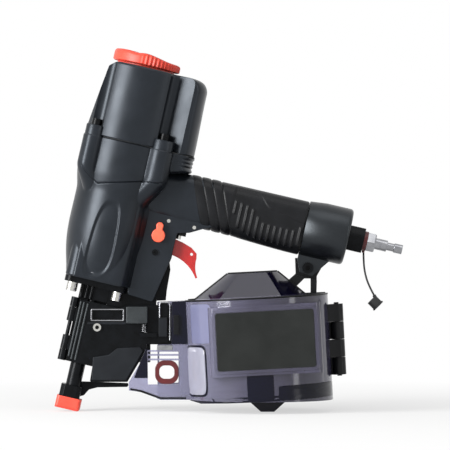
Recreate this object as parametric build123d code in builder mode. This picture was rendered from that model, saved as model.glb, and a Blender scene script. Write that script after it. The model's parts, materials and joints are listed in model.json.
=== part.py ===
from build123d import *
from math import cos, pi, radians, sin, tan
import os

# Coil siding nailer, in millimetres. Row frame: +Z up, nose at -X, air plug at +X, the magazine cover
# faces -Y. The tool stands on its no-mar tip and on the foot under the magazine, both at Z = 0.

# ---------------------------------------------------------------- driving dimensions
driver_tilt = 13.0          # the drive axis leans towards +X when the tool stands
collation_angle = 16.0      # between the drive axis and the canister axis
fit = 0.05                  # radial clearance of a guided or turned fit
gap = 0.3                   # clearance between pieces of different bodies
seat = 0.15                 # clearance round a piece that is pushed or moulded onto another

barrel_base = 111.0         # where the housing ends, above the nose flange
barrel_top = 228.0          # joint face of the housing and the cap
barrel_radius = 37.0
barrel_bore = 31.0
cap_height = 63.0
cap_radius = 38.5
gasket_thickness = 0.6
lobe_reach = 57.0           # how far the rear lobe of housing and cap reaches behind the drive axis
lobe_half_width = 26.0
lobe_corner = 12.0
bolt_u = 28.5               # cap bolts, from the drive axis, rearwards and sideways
bolt_y = 26.0
bolt_radius = 2.5
bolt_head_radius = 4.3
bolt_head_height = 5.0
bolt_seat_height = 8.0      # thickness of the cap under a bolt's head
bolt_thread_end = 207.0     # where the cap bolts end in the housing
column_radius = 7.5         # cast column round each cap bolt
column_start = 190.0
lobe_start = 196.0          # where the rear lobe of the housing begins
pocket_radius = 6.0         # channel over each bolt that lets a key in
cap_roof_thickness = 12.0

sleeve_radius = 26.0
sleeve_bore = 23.5
floor_thickness = 5.0
floor_hole_radius = 5.5     # passage of the driver blade in the floor and in the bumper
sleeve_ledge = 1.0
bumper_height = 13.0
piston_height = 14.0
drive_stroke = 75.0
blade_radius = 3.3
blade_end = 16.5            # where the blade's tip stops at the end of its stroke
nose_channel = 3.6          # radius of the drive channel
nose_barrel_radius = 6.0
head_valve_height = 14.0
exhaust_post_radius = 10.0

deflector_radius = 28.5
deflector_base = 293.0
deflector_height = 10.0
outlet_count = 7
deflector_collar_radius = 24.0
deflector_bolt_radius = 3.0
deflector_bolt_depth = 5.0  # how deep the bolt's head sits in the disc
deflector_thread = 14.0     # how far the bolt reaches into the cap

handle_axis = 193.0         # height of the handle's axis along the drive axis
handle_height = 31.0        # handle core, as cast
handle_width = 27.0
handle_wall = 3.0
handle_end = 158.0
grip_front = 60.0
grip_height = 42.5
grip_width = 36.0
end_cap_radius = 23.5
end_cap_length = 37.0
end_screw_y = 9.0           # end cap screws, from the handle's axis, sideways and up
end_screw_w = 11.0
end_screw_radius = 2.0
end_screw_seat = 6.0        # thickness of the end cap under a screw's head
air_passage_radius = 8.0
air_bush_radius = 9.0       # spigot of the bush in the end cap
air_bush_depth = 12.0
plug_thread_radius = 5.0
bush_length = 13.0
bush_radius = 11.5
seal_length = 3.0
plug_hex_length = 7.0
plug_hex_across = 15.0
plug_shank_radius = 4.7
plug_shank_length = 10.0
plug_groove_radius = 3.3
plug_groove_length = 6.0
plug_nose_radius = 3.9
plug_nose_length = 7.0
air_bore = 2.6

bracket_width = 13.0        # half width of the trigger housing under the handle
trigger_half_width = 6.0
trigger_wall = 1.5
pivot_u = 41.5              # trigger and selector turn about one pin
pivot_w = 159.2
pivot_radius = 3.0
roll_pins_at = ((47.1, 172.8), (68.9, 172.2))
roll_pin_radius = 1.5
cheek_screw_at = (42, 144.9)
cheek_screw_radius = 1.6
valve_u = 58.0
valve_radius = 7.0

tip_front = 10.7            # no-mar tip, in front of and behind the drive axis
tip_rear = 10.0
tip_round = 2.0
tip_top = 12.0
foot_ring_top = 22.0
column_base = 41.0
flange_base = 106.0
nose_bolt_u = 19.0
nose_bolt_y = 10.0
nose_base = 18.0            # lower end of the nose barrel
nail_plane = 3.6            # half width of the nail channel
plate_thickness = 4.4
door_thickness = 5.1
door_bottom = 24.5
door_top = 88.0
door_end = 87.0
door_hinge_u = -14.0
door_hinge_y = -7.0
door_knuckle_radius = 3.2
door_pin_radius = 1.6
lower_lug_top = 50.0        # fixed hinge lugs of the door, with its knuckles between them
lower_knuckle_top = 62.0
upper_knuckle_base = 74.0
upper_lug_base = 86.0
upper_lug_top = 94.0

canister_x = 161.0          # canister axis behind the nose, at its base
canister_base = 10.0
canister_radius = 60.0
canister_height = 85.0
canister_wall = 2.5
split_y = -1.15             # the two halves of the canister meet here
neck_front = 75.0
neck_half_width = 14.0
panel_front = -40.0         # raised label panel, along the canister from its axis
panel_rear = 52.0
panel_low = 22.0
panel_high = 79.0
panel_face = 60.5           # how far the panel stands out from the middle plane
label_thickness = 0.8
label_length = 80.0
label_height = 47.0
hump_height = 20.0
platform_radius = 50.0
post_radius = 6.0
hinge_a = 66.5
knuckle_radius = 5.5
hinge_pin_radius = 2.0
knuckle_count = 4
knuckle_low = 17.0
knuckle_high = 76.0
foot_bottom_length = 11.0
foot_top_length = 30.0
foot_half_width = 13.0

tether_diameter = 1.6
dust_cap_radius = 4.7
dust_cap_length = 8.0

# ---------------------------------------------------------------- frames
sin_t = sin(radians(driver_tilt))
cos_t = cos(radians(driver_tilt))
magazine_tilt = collation_angle - driver_tilt
sin_m = sin(radians(magazine_tilt))
cos_m = cos(radians(magazine_tilt))

floor_top = barrel_base + floor_thickness
sleeve_bottom = floor_top + sleeve_ledge
bumper_top = floor_top + bumper_height
cap_top = barrel_top + gasket_thickness + cap_height
end_cap_end = handle_end + end_cap_length
bush_end = end_cap_end + bush_length
seal_end = bush_end + seal_length
hex_end = seal_end + plug_hex_length
shank_end = hex_end + plug_shank_length
groove_end = shank_end + plug_groove_length
plug_end = groove_end + plug_nose_length
# the tip's rounded rear edge touches the ground
tip_base = ((tip_rear - tip_round) * sin_t + tip_round) / cos_t - tip_round
# the origin is midway between the tip's front edge and the air plug's end
nose_front_x = -tip_front * cos_t + tip_base * sin_t
plug_end_x = plug_end * cos_t + (handle_axis + plug_nose_radius) * sin_t
nose_x = -(nose_front_x + plug_end_x) / 2

NOSE = Vector(nose_x, 0, 0)
GROUND_SIDE = Plane(origin=NOSE, x_dir=(1, 0, 0), z_dir=(0, -1, 0))
DRIVER = Plane(origin=NOSE, x_dir=(cos_t, 0, -sin_t), z_dir=(sin_t, 0, cos_t))
DRIVER_SIDE = Plane(origin=NOSE, x_dir=(cos_t, 0, -sin_t), z_dir=(0, -1, 0))
# the canister's round wall stands as far out at the back as the label does at the front
canister_y = panel_face + label_thickness - canister_radius
CANISTER_FOOT = Vector(nose_x + canister_x, 0, canister_base)
CANISTER = Plane(origin=CANISTER_FOOT, x_dir=(cos_m, 0, sin_m), z_dir=(-sin_m, 0, cos_m))
ROUND_FOOT = Vector(nose_x + canister_x, canister_y, canister_base)
ROUND = Plane(origin=ROUND_FOOT, x_dir=(cos_m, 0, sin_m), z_dir=(-sin_m, 0, cos_m))
CANISTER_SIDE = Plane(origin=CANISTER_FOOT, x_dir=(cos_m, 0, sin_m), z_dir=(0, -1, 0))


def along_handle(u, w=handle_axis):
    """Section plane across the handle: its x runs along +Y, its y up the drive axis, its normal to the rear."""
    centre = DRIVER.from_local_coords(Vector(u, 0, w))
    return Plane(origin=centre, x_dir=(0, 1, 0), z_dir=(cos_t, 0, -sin_t))


def across(y):
    """Section plane facing -Y at a given y, with the driver's directions."""
    return DRIVER_SIDE.offset(-y)


def finish(block, name):
    block.part.label = name
    export_step(block.part, f"parts/{name}.step")
    print(name, len(block.part.solids()), round(block.part.volume))


os.makedirs("parts", exist_ok=True)


def spring(plane, coil_radius, wire_radius, length, turns):
    """A round-wire compression spring that stands on the plane."""
    free_height = length - 2 * wire_radius
    with BuildPart() as coil:
        with BuildLine() as wire:
            Helix(pitch=free_height / turns, height=free_height, radius=coil_radius,
                  center=plane.offset(wire_radius).origin, direction=plane.z_dir)
        with BuildSketch(Plane(origin=wire.line @ 0, z_dir=wire.line % 0)):
            Circle(wire_radius)
        sweep(is_frenet=True)
    return coil


# ---------------------------------------------------------------- housing, handle and cap
def lobe_plan(radius, reach, half_width, corner):
    """Plan of the barrel: a round front and a narrower lobe behind it."""
    centre_u = reach - corner
    centre_y = half_width - corner
    for u, y, r in ((0, 0, radius), (centre_u, centre_y, corner), (centre_u, -centre_y, corner)):
        with Locations((u, y)):
            Circle(r)
    make_hull()


with BuildPart() as body_casting:
    # lower barrel, turned about the drive axis
    with BuildSketch(DRIVER_SIDE):
        with BuildLine():
            Polyline((0, barrel_base), (25.8, barrel_base), (27, 118), (30.6, 130))
            Spline((30.6, 130), (33.6, 152), (33.9, 176), (barrel_radius - 0.2, lobe_start + 1))
            Polyline((barrel_radius - 0.2, lobe_start + 1), (0, lobe_start + 1), (0, barrel_base))
        make_face()
    revolve(axis=Axis(NOSE, DRIVER.z_dir))
    # upper barrel with the rear lobe and four bolt columns
    with BuildSketch(DRIVER.offset(lobe_start)):
        lobe_plan(barrel_radius, lobe_reach, lobe_half_width, lobe_corner)
    extrude(amount=barrel_top - lobe_start)
    with BuildSketch(DRIVER.offset(column_start)):
        with GridLocations(2 * bolt_u, 2 * bolt_y, 2, 2):
            Circle(column_radius)
    extrude(amount=barrel_top - column_start)
    # trigger housing and the root of the handle
    with BuildSketch(DRIVER_SIDE):
        with BuildLine():
            Polyline((10, barrel_base), (27.5, barrel_base), (27.5, 106), (49, 104.5), (56, 143), (56, 165),
                     (66, 167), (76, 172.5), (88, 178), (88, 205), (10, 205), close=True)
        make_face()
    extrude(amount=bracket_width, both=True)
    with BuildSketch(along_handle(10)):
        RectangleRounded(handle_width, handle_height, 9)
    extrude(amount=handle_end - 10)
    # bore for the sleeve, with a floor under it
    with BuildSketch(DRIVER.offset(sleeve_bottom + 22)):
        Circle(barrel_bore - 1.5)
    extrude(amount=barrel_top, mode=Mode.SUBTRACT)
    with BuildSketch(DRIVER.offset(floor_top)):
        Circle(sleeve_bore)
    extrude(amount=barrel_top, mode=Mode.SUBTRACT)
    with BuildSketch(DRIVER.offset(sleeve_bottom)):
        Circle(sleeve_radius + fit)
    extrude(amount=barrel_top, mode=Mode.SUBTRACT)
    with BuildSketch(DRIVER.offset(barrel_base - 1)):
        Circle(floor_hole_radius)
    extrude(amount=20, mode=Mode.SUBTRACT)
    # the handle is the air reservoir
    with BuildSketch(along_handle(22)):
        RectangleRounded(handle_width - 2 * handle_wall, handle_height - 2 * handle_wall, 6)
    extrude(amount=handle_end - 14 - 22, mode=Mode.SUBTRACT)
    with BuildSketch(along_handle(handle_end - 20)):
        Circle(air_passage_radius)
    extrude(amount=21, mode=Mode.SUBTRACT)
    with BuildSketch(along_handle(handle_end - 11)):
        with GridLocations(2 * end_screw_y, 2 * end_screw_w, 2, 2):
            Circle(end_screw_radius)
    extrude(amount=12, mode=Mode.SUBTRACT)
    # slot for the trigger, valve bore, pivot bore and pin bores
    with BuildSketch(DRIVER_SIDE):
        with BuildLine():
            Polyline((34, 137), (95, 137), (95, 166), (34, 166), close=True)
        make_face()
    extrude(amount=trigger_half_width + 1, both=True, mode=Mode.SUBTRACT)
    with BuildSketch(DRIVER.offset(160)):
        with Locations((valve_u, 0)):
            Circle(valve_radius + seat)
    extrude(amount=30, mode=Mode.SUBTRACT)
    with BuildSketch(DRIVER_SIDE):
        with Locations((pivot_u, pivot_w)):
            Circle(pivot_radius + fit)
        with Locations(*roll_pins_at):
            Circle(roll_pin_radius)
        with Locations(cheek_screw_at):
            Circle(cheek_screw_radius)
    extrude(amount=bracket_width + 1, both=True, mode=Mode.SUBTRACT)
    # threads for the cap bolts and the nose bolts
    with BuildSketch(DRIVER.offset(bolt_thread_end - 2)):
        with GridLocations(2 * bolt_u, 2 * bolt_y, 2, 2):
            Circle(bolt_radius)
    extrude(amount=30, mode=Mode.SUBTRACT)
    with BuildSketch(DRIVER.offset(barrel_base)):
        with GridLocations(2 * nose_bolt_u, 2 * nose_bolt_y, 2, 2):
            Circle(bolt_radius)
    extrude(amount=5, mode=Mode.SUBTRACT)
finish(body_casting, "body_casting")

with BuildPart() as cap_gasket:
    with BuildSketch(DRIVER.offset(barrel_top)):
        lobe_plan(barrel_radius - 1, lobe_reach - 1, lobe_half_width - 1, lobe_corner)
        with GridLocations(2 * bolt_u, 2 * bolt_y, 2, 2):
            Circle(column_radius - 1)
            Circle(bolt_radius + seat, mode=Mode.SUBTRACT)
        Circle(barrel_bore, mode=Mode.SUBTRACT)
    extrude(amount=gasket_thickness)
finish(cap_gasket, "cap_gasket")

cap_base = barrel_top + gasket_thickness
cap_roof = cap_top - cap_roof_thickness
with BuildPart() as cylinder_cap:
    with BuildSketch(DRIVER.offset(cap_base)):
        lobe_plan(cap_radius, lobe_reach - 1.5, lobe_half_width, lobe_corner)
    extrude(amount=cap_height)
    # the front tapers to the top, and the top of the lobe is rounded off at the rear
    with BuildSketch(DRIVER_SIDE):
        with BuildLine():
            Polyline((-cap_radius - 3, cap_base), (-barrel_radius, cap_base), (-30, cap_top - 5), (-24, cap_top + 2),
                     (-cap_radius - 3, cap_top + 2), close=True)
        make_face()
        with BuildLine():
            RadiusArc((46, cap_top + 0.5), (54, cap_top - 9), 9)
            Polyline((54, cap_top - 9), (lobe_reach + 3, cap_top - 9), (lobe_reach + 3, cap_top + 2),
                     (46, cap_top + 2), (46, cap_top + 0.5))
        make_face()
    extrude(amount=cap_radius + 5, both=True, mode=Mode.SUBTRACT)
    # bolt columns end under a pocket, so that a key reaches the bolt heads
    with BuildSketch(DRIVER.offset(cap_base)):
        with GridLocations(2 * bolt_u, 2 * bolt_y, 2, 2):
            Circle(column_radius)
    extrude(amount=bolt_seat_height)
    with BuildSketch(DRIVER.offset(cap_base + bolt_seat_height)):
        with GridLocations(2 * bolt_u, 2 * bolt_y, 2, 2):
            Circle(pocket_radius)
    extrude(amount=cap_height, mode=Mode.SUBTRACT)
    with BuildSketch(DRIVER.offset(cap_base - 1)):
        with GridLocations(2 * bolt_u, 2 * bolt_y, 2, 2):
            Circle(bolt_radius + seat)
    extrude(amount=bolt_seat_height + 4, mode=Mode.SUBTRACT)
    # cavity of the head valve, with its guide post, the bolt's thread and the exhaust ports
    with BuildSketch(DRIVER.offset(cap_base - 1)):
        Circle(barrel_bore - 3)
        Circle(exhaust_post_radius, mode=Mode.SUBTRACT)
    extrude(amount=cap_roof - cap_base + 1, mode=Mode.SUBTRACT)
    with BuildSketch(DRIVER.offset(cap_base - 1)):
        Circle(exhaust_post_radius + 1)
    extrude(amount=6, mode=Mode.SUBTRACT)
    with BuildSketch(DRIVER.offset(cap_top)):
        Circle(deflector_bolt_radius)
    extrude(amount=-(deflector_thread + 2), mode=Mode.SUBTRACT)
    with BuildSketch(DRIVER.offset(cap_top)):
        with PolarLocations(18, 6):
            Circle(4)
    extrude(amount=-(cap_roof_thickness + 2), mode=Mode.SUBTRACT)
finish(cylinder_cap, "cylinder_cap")

with BuildPart() as cap_bolts:
    with BuildSketch(DRIVER.offset(cap_base + bolt_seat_height)):
        with GridLocations(2 * bolt_u, 2 * bolt_y, 2, 2):
            Circle(bolt_head_radius)
            RegularPolygon(2.4, 6, mode=Mode.SUBTRACT)
    extrude(amount=bolt_head_height)
    with BuildSketch(DRIVER.offset(bolt_thread_end)):
        with GridLocations(2 * bolt_u, 2 * bolt_y, 2, 2):
            Circle(bolt_radius)
    extrude(amount=cap_base + bolt_seat_height + 2 - bolt_thread_end)
finish(cap_bolts, "cap_bolts")

# ---------------------------------------------------------------- exhaust deflector
with BuildPart() as exhaust_deflector:
    with BuildSketch(DRIVER.offset(cap_top + gap)):
        Circle(deflector_collar_radius)
        Circle(deflector_bolt_radius + gap, mode=Mode.SUBTRACT)
    extrude(amount=deflector_base - cap_top - gap)
    with BuildSketch(DRIVER.offset(deflector_base)):
        Circle(deflector_radius)
        Circle(deflector_bolt_radius + gap, mode=Mode.SUBTRACT)
    extrude(amount=deflector_height)
    with BuildSketch(DRIVER_SIDE):
        with BuildLine():
            Polyline((-19, 303.5), (30, 299), (30, 310), (-19, 310), close=True)
        make_face()
    extrude(amount=deflector_radius + 2, both=True, mode=Mode.SUBTRACT)
    # hollow under the disc, with the outlets between its rear teeth
    with BuildSketch(DRIVER.offset(cap_top)):
        Circle(deflector_collar_radius - 1.5)
        Circle(8, mode=Mode.SUBTRACT)
    extrude(amount=deflector_base + 3 - cap_top, mode=Mode.SUBTRACT)
    with BuildSketch(DRIVER.offset(deflector_base)):
        with PolarLocations(deflector_radius, outlet_count, start_angle=-60, angular_range=120, endpoint=True):
            Rectangle(14, 3.4)
    extrude(amount=3, mode=Mode.SUBTRACT)
    with BuildSketch(DRIVER.offset(deflector_base + deflector_height - deflector_bolt_depth)):
        Circle(6)
    extrude(amount=8, mode=Mode.SUBTRACT)
finish(exhaust_deflector, "exhaust_deflector")

with BuildPart() as deflector_bolt:
    with BuildSketch(DRIVER.offset(deflector_base + deflector_height - deflector_bolt_depth + gap)):
        Circle(5.2)
        RegularPolygon(2.6, 6, mode=Mode.SUBTRACT)
    extrude(amount=3.2)
    with BuildSketch(DRIVER.offset(cap_top - deflector_thread)):
        Circle(deflector_bolt_radius)
    extrude(amount=deflector_thread + deflector_base + deflector_height - deflector_bolt_depth + gap + 1 - cap_top)
finish(deflector_bolt, "deflector_bolt")

# ---------------------------------------------------------------- drive train inside the barrel
with BuildPart() as cylinder_sleeve:
    with BuildSketch(DRIVER.offset(sleeve_bottom)):
        Circle(sleeve_radius)
        Circle(sleeve_bore, mode=Mode.SUBTRACT)
    extrude(amount=barrel_top - 2 - sleeve_bottom)
finish(cylinder_sleeve, "cylinder_sleeve")

with BuildPart() as bumper:
    with BuildSketch(DRIVER.offset(floor_top)):
        Circle(sleeve_bore - gap)
        Circle(floor_hole_radius, mode=Mode.SUBTRACT)
    extrude(amount=bumper_height)
    chamfer(bumper.edges().group_by(Axis(NOSE, DRIVER.z_dir))[-1], 2)
finish(bumper, "bumper")

piston_bottom = bumper_top + gap + drive_stroke
ring_low = piston_bottom + 6
with BuildPart() as piston:
    with BuildSketch(DRIVER.offset(piston_bottom)):
        Circle(sleeve_bore - fit)
    extrude(amount=piston_height)
    with BuildSketch(DRIVER.offset(piston_bottom + 5)):
        Circle(14)
    extrude(amount=piston_height, mode=Mode.SUBTRACT)
    with BuildSketch(DRIVER.offset(ring_low)):
        Circle(sleeve_bore + 1)
        Circle(sleeve_bore - 3, mode=Mode.SUBTRACT)
    extrude(amount=3.4, mode=Mode.SUBTRACT)
    with BuildSketch(DRIVER.offset(piston_bottom - 1)):
        Circle(blade_radius)
    extrude(amount=8, mode=Mode.SUBTRACT)
finish(piston, "piston")

blade_tip = blade_end + drive_stroke
with BuildPart() as driver_blade:
    with BuildSketch(DRIVER.offset(blade_tip)):
        Circle(blade_radius)
    extrude(amount=piston_bottom + 5 - blade_tip)
finish(driver_blade, "driver_blade")

with BuildPart() as piston_ring:
    with BuildSketch(DRIVER.offset(ring_low + 0.2)):
        Circle(sleeve_bore - fit)
        Circle(sleeve_bore - 3 + seat, mode=Mode.SUBTRACT)
    extrude(amount=3)
finish(piston_ring, "piston_ring")

head_valve_base = cap_base + gap
with BuildPart() as head_valve:
    with BuildSketch(DRIVER.offset(head_valve_base)):
        Circle(barrel_bore - 3 - fit)
        Circle(exhaust_post_radius + fit, mode=Mode.SUBTRACT)
    extrude(amount=head_valve_height)
    with BuildSketch(DRIVER.offset(head_valve_base + 4)):
        Circle(barrel_bore - 6)
        Circle(exhaust_post_radius + 3, mode=Mode.SUBTRACT)
    extrude(amount=head_valve_height, mode=Mode.SUBTRACT)
finish(head_valve, "head_valve")

head_spring_base = head_valve_base + 4 + gap
head_valve_spring = spring(DRIVER.offset(head_spring_base), 17, 1.2, cap_roof - gap - head_spring_base, 6)
finish(head_valve_spring, "head_valve_spring")

# ---------------------------------------------------------------- grip, end cap and air inlet
with BuildPart() as handle_grip:
    with BuildSketch(along_handle(grip_front)):
        RectangleRounded(grip_width, grip_height, 14)
        RectangleRounded(handle_width + 2 * seat, handle_height + 2 * seat, 9 + seat, mode=Mode.SUBTRACT)
    extrude(amount=handle_end - 1 - grip_front)
    # clearance for the trigger housing under the front of the grip
    with BuildSketch(DRIVER_SIDE):
        with BuildLine():
            Polyline((50, 160), (78, 160), (96, 178.5), (50, 178.5), close=True)
        make_face()
    extrude(amount=bracket_width + seat, both=True, mode=Mode.SUBTRACT)
    # clearance for the root of the handle, as wide as the trigger housing
    with BuildSketch(DRIVER_SIDE):
        with BuildLine():
            Polyline((50, 165), (88 + seat, 165), (88 + seat, 205 + seat), (50, 205 + seat), close=True)
        make_face()
    extrude(amount=bracket_width + seat, both=True, mode=Mode.SUBTRACT)
finish(handle_grip, "handle_grip")

lug_u = 168.0
lug_w = 160.7
lug_half_width = 4.7
bracket_bolt_radius = 3.0
with BuildPart() as end_cap:
    with BuildSketch(along_handle(handle_end)):
        Circle(end_cap_radius)
    extrude(amount=end_cap_length)
    fillet(end_cap.edges().group_by(Axis(NOSE, DRIVER.x_dir))[-1], 3)
    with BuildSketch(along_handle(handle_end)):
        Circle(air_passage_radius)
    extrude(amount=end_cap_length + 1, mode=Mode.SUBTRACT)
    with BuildSketch(along_handle(end_cap_end - air_bush_depth - 2)):
        Circle(air_bush_radius)
    extrude(amount=air_bush_depth + 3, mode=Mode.SUBTRACT)
    with BuildSketch(along_handle(handle_end - 1)):
        with GridLocations(2 * end_screw_y, 2 * end_screw_w, 2, 2):
            Circle(end_screw_radius + seat)
    extrude(amount=end_cap_length, mode=Mode.SUBTRACT)
    with BuildSketch(along_handle(handle_end + end_screw_seat)):
        with GridLocations(2 * end_screw_y, 2 * end_screw_w, 2, 2):
            Circle(3.8)
    extrude(amount=end_cap_length, mode=Mode.SUBTRACT)
    # lug for the magazine bracket
    with BuildSketch(DRIVER_SIDE):
        with BuildLine():
            Polyline((158, 178), (158, 166), (lug_u - 6, 156), (lug_u + 5, 155), (184, 170), (184, 178), close=True)
        make_face()
        with Locations((lug_u, lug_w)):
            Circle(bracket_bolt_radius + fit, mode=Mode.SUBTRACT)
    extrude(amount=lug_half_width, both=True)
    with BuildSketch(along_handle(handle_end)):
        Circle(air_passage_radius)
    extrude(amount=end_cap_length - air_bush_depth - 3, mode=Mode.SUBTRACT)
finish(end_cap, "end_cap")

with BuildPart() as end_cap_bolts:
    with BuildSketch(along_handle(handle_end + end_screw_seat)):
        with GridLocations(2 * end_screw_y, 2 * end_screw_w, 2, 2):
            Circle(3.5)
            RegularPolygon(1.9, 6, mode=Mode.SUBTRACT)
    extrude(amount=3.5)
    with BuildSketch(along_handle(handle_end - 10)):
        with GridLocations(2 * end_screw_y, 2 * end_screw_w, 2, 2):
            Circle(end_screw_radius)
    extrude(amount=11 + end_screw_seat)
finish(end_cap_bolts, "end_cap_bolts")

with BuildPart() as air_bush:
    with BuildSketch(along_handle(end_cap_end)):
        Circle(bush_radius)
        RegularPolygon(bush_radius + 0.4, 6, mode=Mode.INTERSECT)
    extrude(amount=bush_length)
    with BuildSketch(along_handle(end_cap_end - air_bush_depth)):
        Circle(air_bush_radius - fit)
    extrude(amount=air_bush_depth)
    with BuildSketch(along_handle(end_cap_end - air_bush_depth)):
        Circle(plug_thread_radius)
    extrude(amount=air_bush_depth + bush_length, mode=Mode.SUBTRACT)
finish(air_bush, "air_bush")

tether_exit_x = 246.2
tether_exit_z = 131.5
with BuildPart() as swivel_seal:
    with BuildSketch(along_handle(bush_end)):
        Circle(8.2)
    extrude(amount=seal_length)
    # nub that the tether grows out of
    with BuildSketch(Plane(origin=(nose_x + tether_exit_x, 0, tether_exit_z), z_dir=(0, 0, 1))):
        Circle(1.4)
    extrude(amount=9)
    with BuildSketch(along_handle(bush_end)):
        Circle(14)
    extrude(amount=seal_length, mode=Mode.INTERSECT)
    with BuildSketch(along_handle(bush_end)):
        Circle(plug_thread_radius + fit)
    extrude(amount=seal_length, mode=Mode.SUBTRACT)
finish(swivel_seal, "swivel_seal")

with BuildPart() as air_plug:
    with BuildSketch(along_handle(end_cap_end)):
        Circle(plug_thread_radius - fit)
    extrude(amount=seal_end - end_cap_end)
    with BuildSketch(along_handle(seal_end)):
        RegularPolygon(plug_hex_across / 2, 6, major_radius=False)
    extrude(amount=plug_hex_length)
    chamfer(air_plug.edges().group_by(Axis(NOSE, DRIVER.x_dir))[-1], 0.8)
    with BuildSketch(along_handle(hex_end)):
        Circle(plug_shank_radius)
    extrude(amount=plug_shank_length)
    with BuildSketch(along_handle(shank_end)):
        Circle(plug_groove_radius)
    extrude(amount=plug_groove_length)
    with BuildSketch(along_handle(groove_end)):
        Circle(plug_nose_radius)
    extrude(amount=plug_nose_length)
    with BuildSketch(along_handle(end_cap_end)):
        Circle(air_bore)
    extrude(amount=plug_end - end_cap_end, mode=Mode.SUBTRACT)
finish(air_plug, "air_plug")

# ---------------------------------------------------------------- tether and dust cap
tether_points = [
    (246.2, tether_exit_z), (246.3, 122.3), (247.7, 113.0), (250.6, 104.2), (254.9, 96.2),
]


def corner_radii(points):
    """Each arc is as large as its two runs allow."""
    vectors = [Vector(x, z) for x, z in points]
    radii = []
    for before, corner, after in zip(vectors, vectors[1:], vectors[2:]):
        first = corner - before
        second = after - corner
        turn = radians(first.get_angle(second))
        radii.append(0.45 * min(first.length, second.length) / tan(turn / 2))
    return radii


tether_radii = corner_radii(tether_points)
print("tether radii", [round(radius, 1) for radius in tether_radii])
with BuildPart() as tether:
    with BuildLine(GROUND_SIDE) as route:
        FilletPolyline(*tether_points, radius=tether_radii)
    with BuildSketch(Plane(origin=route.line @ 0, z_dir=route.line % 0)):
        Circle(tether_diameter / 2)
    sweep()
tether_length = route.wires()[0].length
tether_volume = pi * (tether_diameter / 2) ** 2 * tether_length
print("tether length", round(tether_length, 1), "volume ratio", round(tether.part.volume / tether_volume, 4))
finish(tether, "tether")

tether_end = route.line @ 1
tether_way = route.line % 1
with BuildPart() as dust_cap:
    with BuildSketch(Plane(origin=tether_end, z_dir=tether_way)):
        Circle(1.5)
    extrude(amount=2.5)
    cap_way = Vector(1, 0, -1).normalized()
    cap_corner = tether_end + tether_way * 1.2
    cap_start = cap_corner + Vector(-1, 0, -1).normalized() * (dust_cap_radius - 1.2)
    with BuildSketch(Plane(origin=cap_start, z_dir=cap_way)):
        Circle(dust_cap_radius)
    extrude(amount=dust_cap_length)
    with BuildSketch(Plane(origin=cap_start + cap_way * dust_cap_length, z_dir=cap_way)):
        Circle(dust_cap_radius - 0.8)
    extrude(amount=-(dust_cap_length - 1.5), mode=Mode.SUBTRACT)
    with BuildSketch(Plane(origin=cap_start + cap_way * (dust_cap_length - 1.2), z_dir=cap_way)):
        Circle(dust_cap_radius + 0.7)
        Circle(dust_cap_radius - 0.8, mode=Mode.SUBTRACT)
    extrude(amount=1.2)
finish(dust_cap, "dust_cap")

# ---------------------------------------------------------------- trigger group
with BuildPart() as trigger_pin:
    with BuildSketch(across(bracket_width + 2.5)):
        with Locations((pivot_u, pivot_w)):
            Circle(pivot_radius)
    extrude(amount=2 * bracket_width + 5)
    with BuildSketch(across(bracket_width + 2.5)):
        with Locations((pivot_u, pivot_w)):
            Circle(pivot_radius + 1.8)
    extrude(amount=2.2)
finish(trigger_pin, "trigger_pin")

selector_length = 11.0
with BuildPart() as selector_lever:
    with BuildSketch(across(-bracket_width - gap)):
        with Locations((pivot_u, pivot_w)):
            Circle(5.6)
        with BuildLine():
            Polyline((pivot_u - 2.8, pivot_w), (pivot_u - 3.1, pivot_w + selector_length - 3),
                     (pivot_u + 2.3, pivot_w + selector_length - 2.5), (pivot_u + 2.8, pivot_w), close=True)
        make_face()
        with Locations((pivot_u - 0.5, pivot_w + selector_length - 3)):
            Circle(3.0)
    extrude(amount=5)
    fillet(selector_lever.faces().sort_by(Axis.Y)[0].edges(), 1.0)
    with BuildSketch(across(-bracket_width - gap - 3)):
        with Locations((pivot_u, pivot_w)):
            Circle(pivot_radius + fit)
    extrude(amount=-10, mode=Mode.SUBTRACT)
finish(selector_lever, "selector_lever")

with BuildPart() as trigger:
    with BuildSketch(DRIVER_SIDE):
        with BuildLine():
            Polyline((pivot_u - 3, pivot_w - 5), (pivot_u + 2, pivot_w + 5), (52.3, 160), (62.5, 157.9),
                     (70.4, 155.3), (75.6, 151.4), (76.4, 147.5))
            ThreePointArc((76.4, 147.5), (77.2, 139.5), (80.6, 132.2))
            Line((80.6, 132.2), (79.3, 131.2))
            ThreePointArc((79.3, 131.2), (70.0, 140.6), (56.6, 145.7))
            Line((56.6, 145.7), (pivot_u - 3, pivot_w - 5))
        make_face()
        with Locations((pivot_u, pivot_w)):
            Circle(5.4)
    extrude(amount=trigger_half_width, both=True)
    # open channel behind the finger web, bridged where the valve stem bears
    with BuildSketch(DRIVER_SIDE):
        with BuildLine():
            Polyline((30, 170), (30, 150), (54, 148.5), (67, 145), (74.2, 142.5), (74.8, 150.6), (69.6, 153.8),
                     (62, 156.2), (51, 158.2), (50, 170), close=True)
        make_face()
    extrude(amount=trigger_half_width - trigger_wall, both=True, mode=Mode.SUBTRACT)
    with BuildSketch(DRIVER_SIDE):
        with Locations((pivot_u, pivot_w)):
            Circle(pivot_radius + fit)
        with Locations((71.6, 150)):
            Circle(1.2)
    extrude(amount=trigger_half_width + 1, both=True, mode=Mode.SUBTRACT)
finish(trigger, "trigger")

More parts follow.
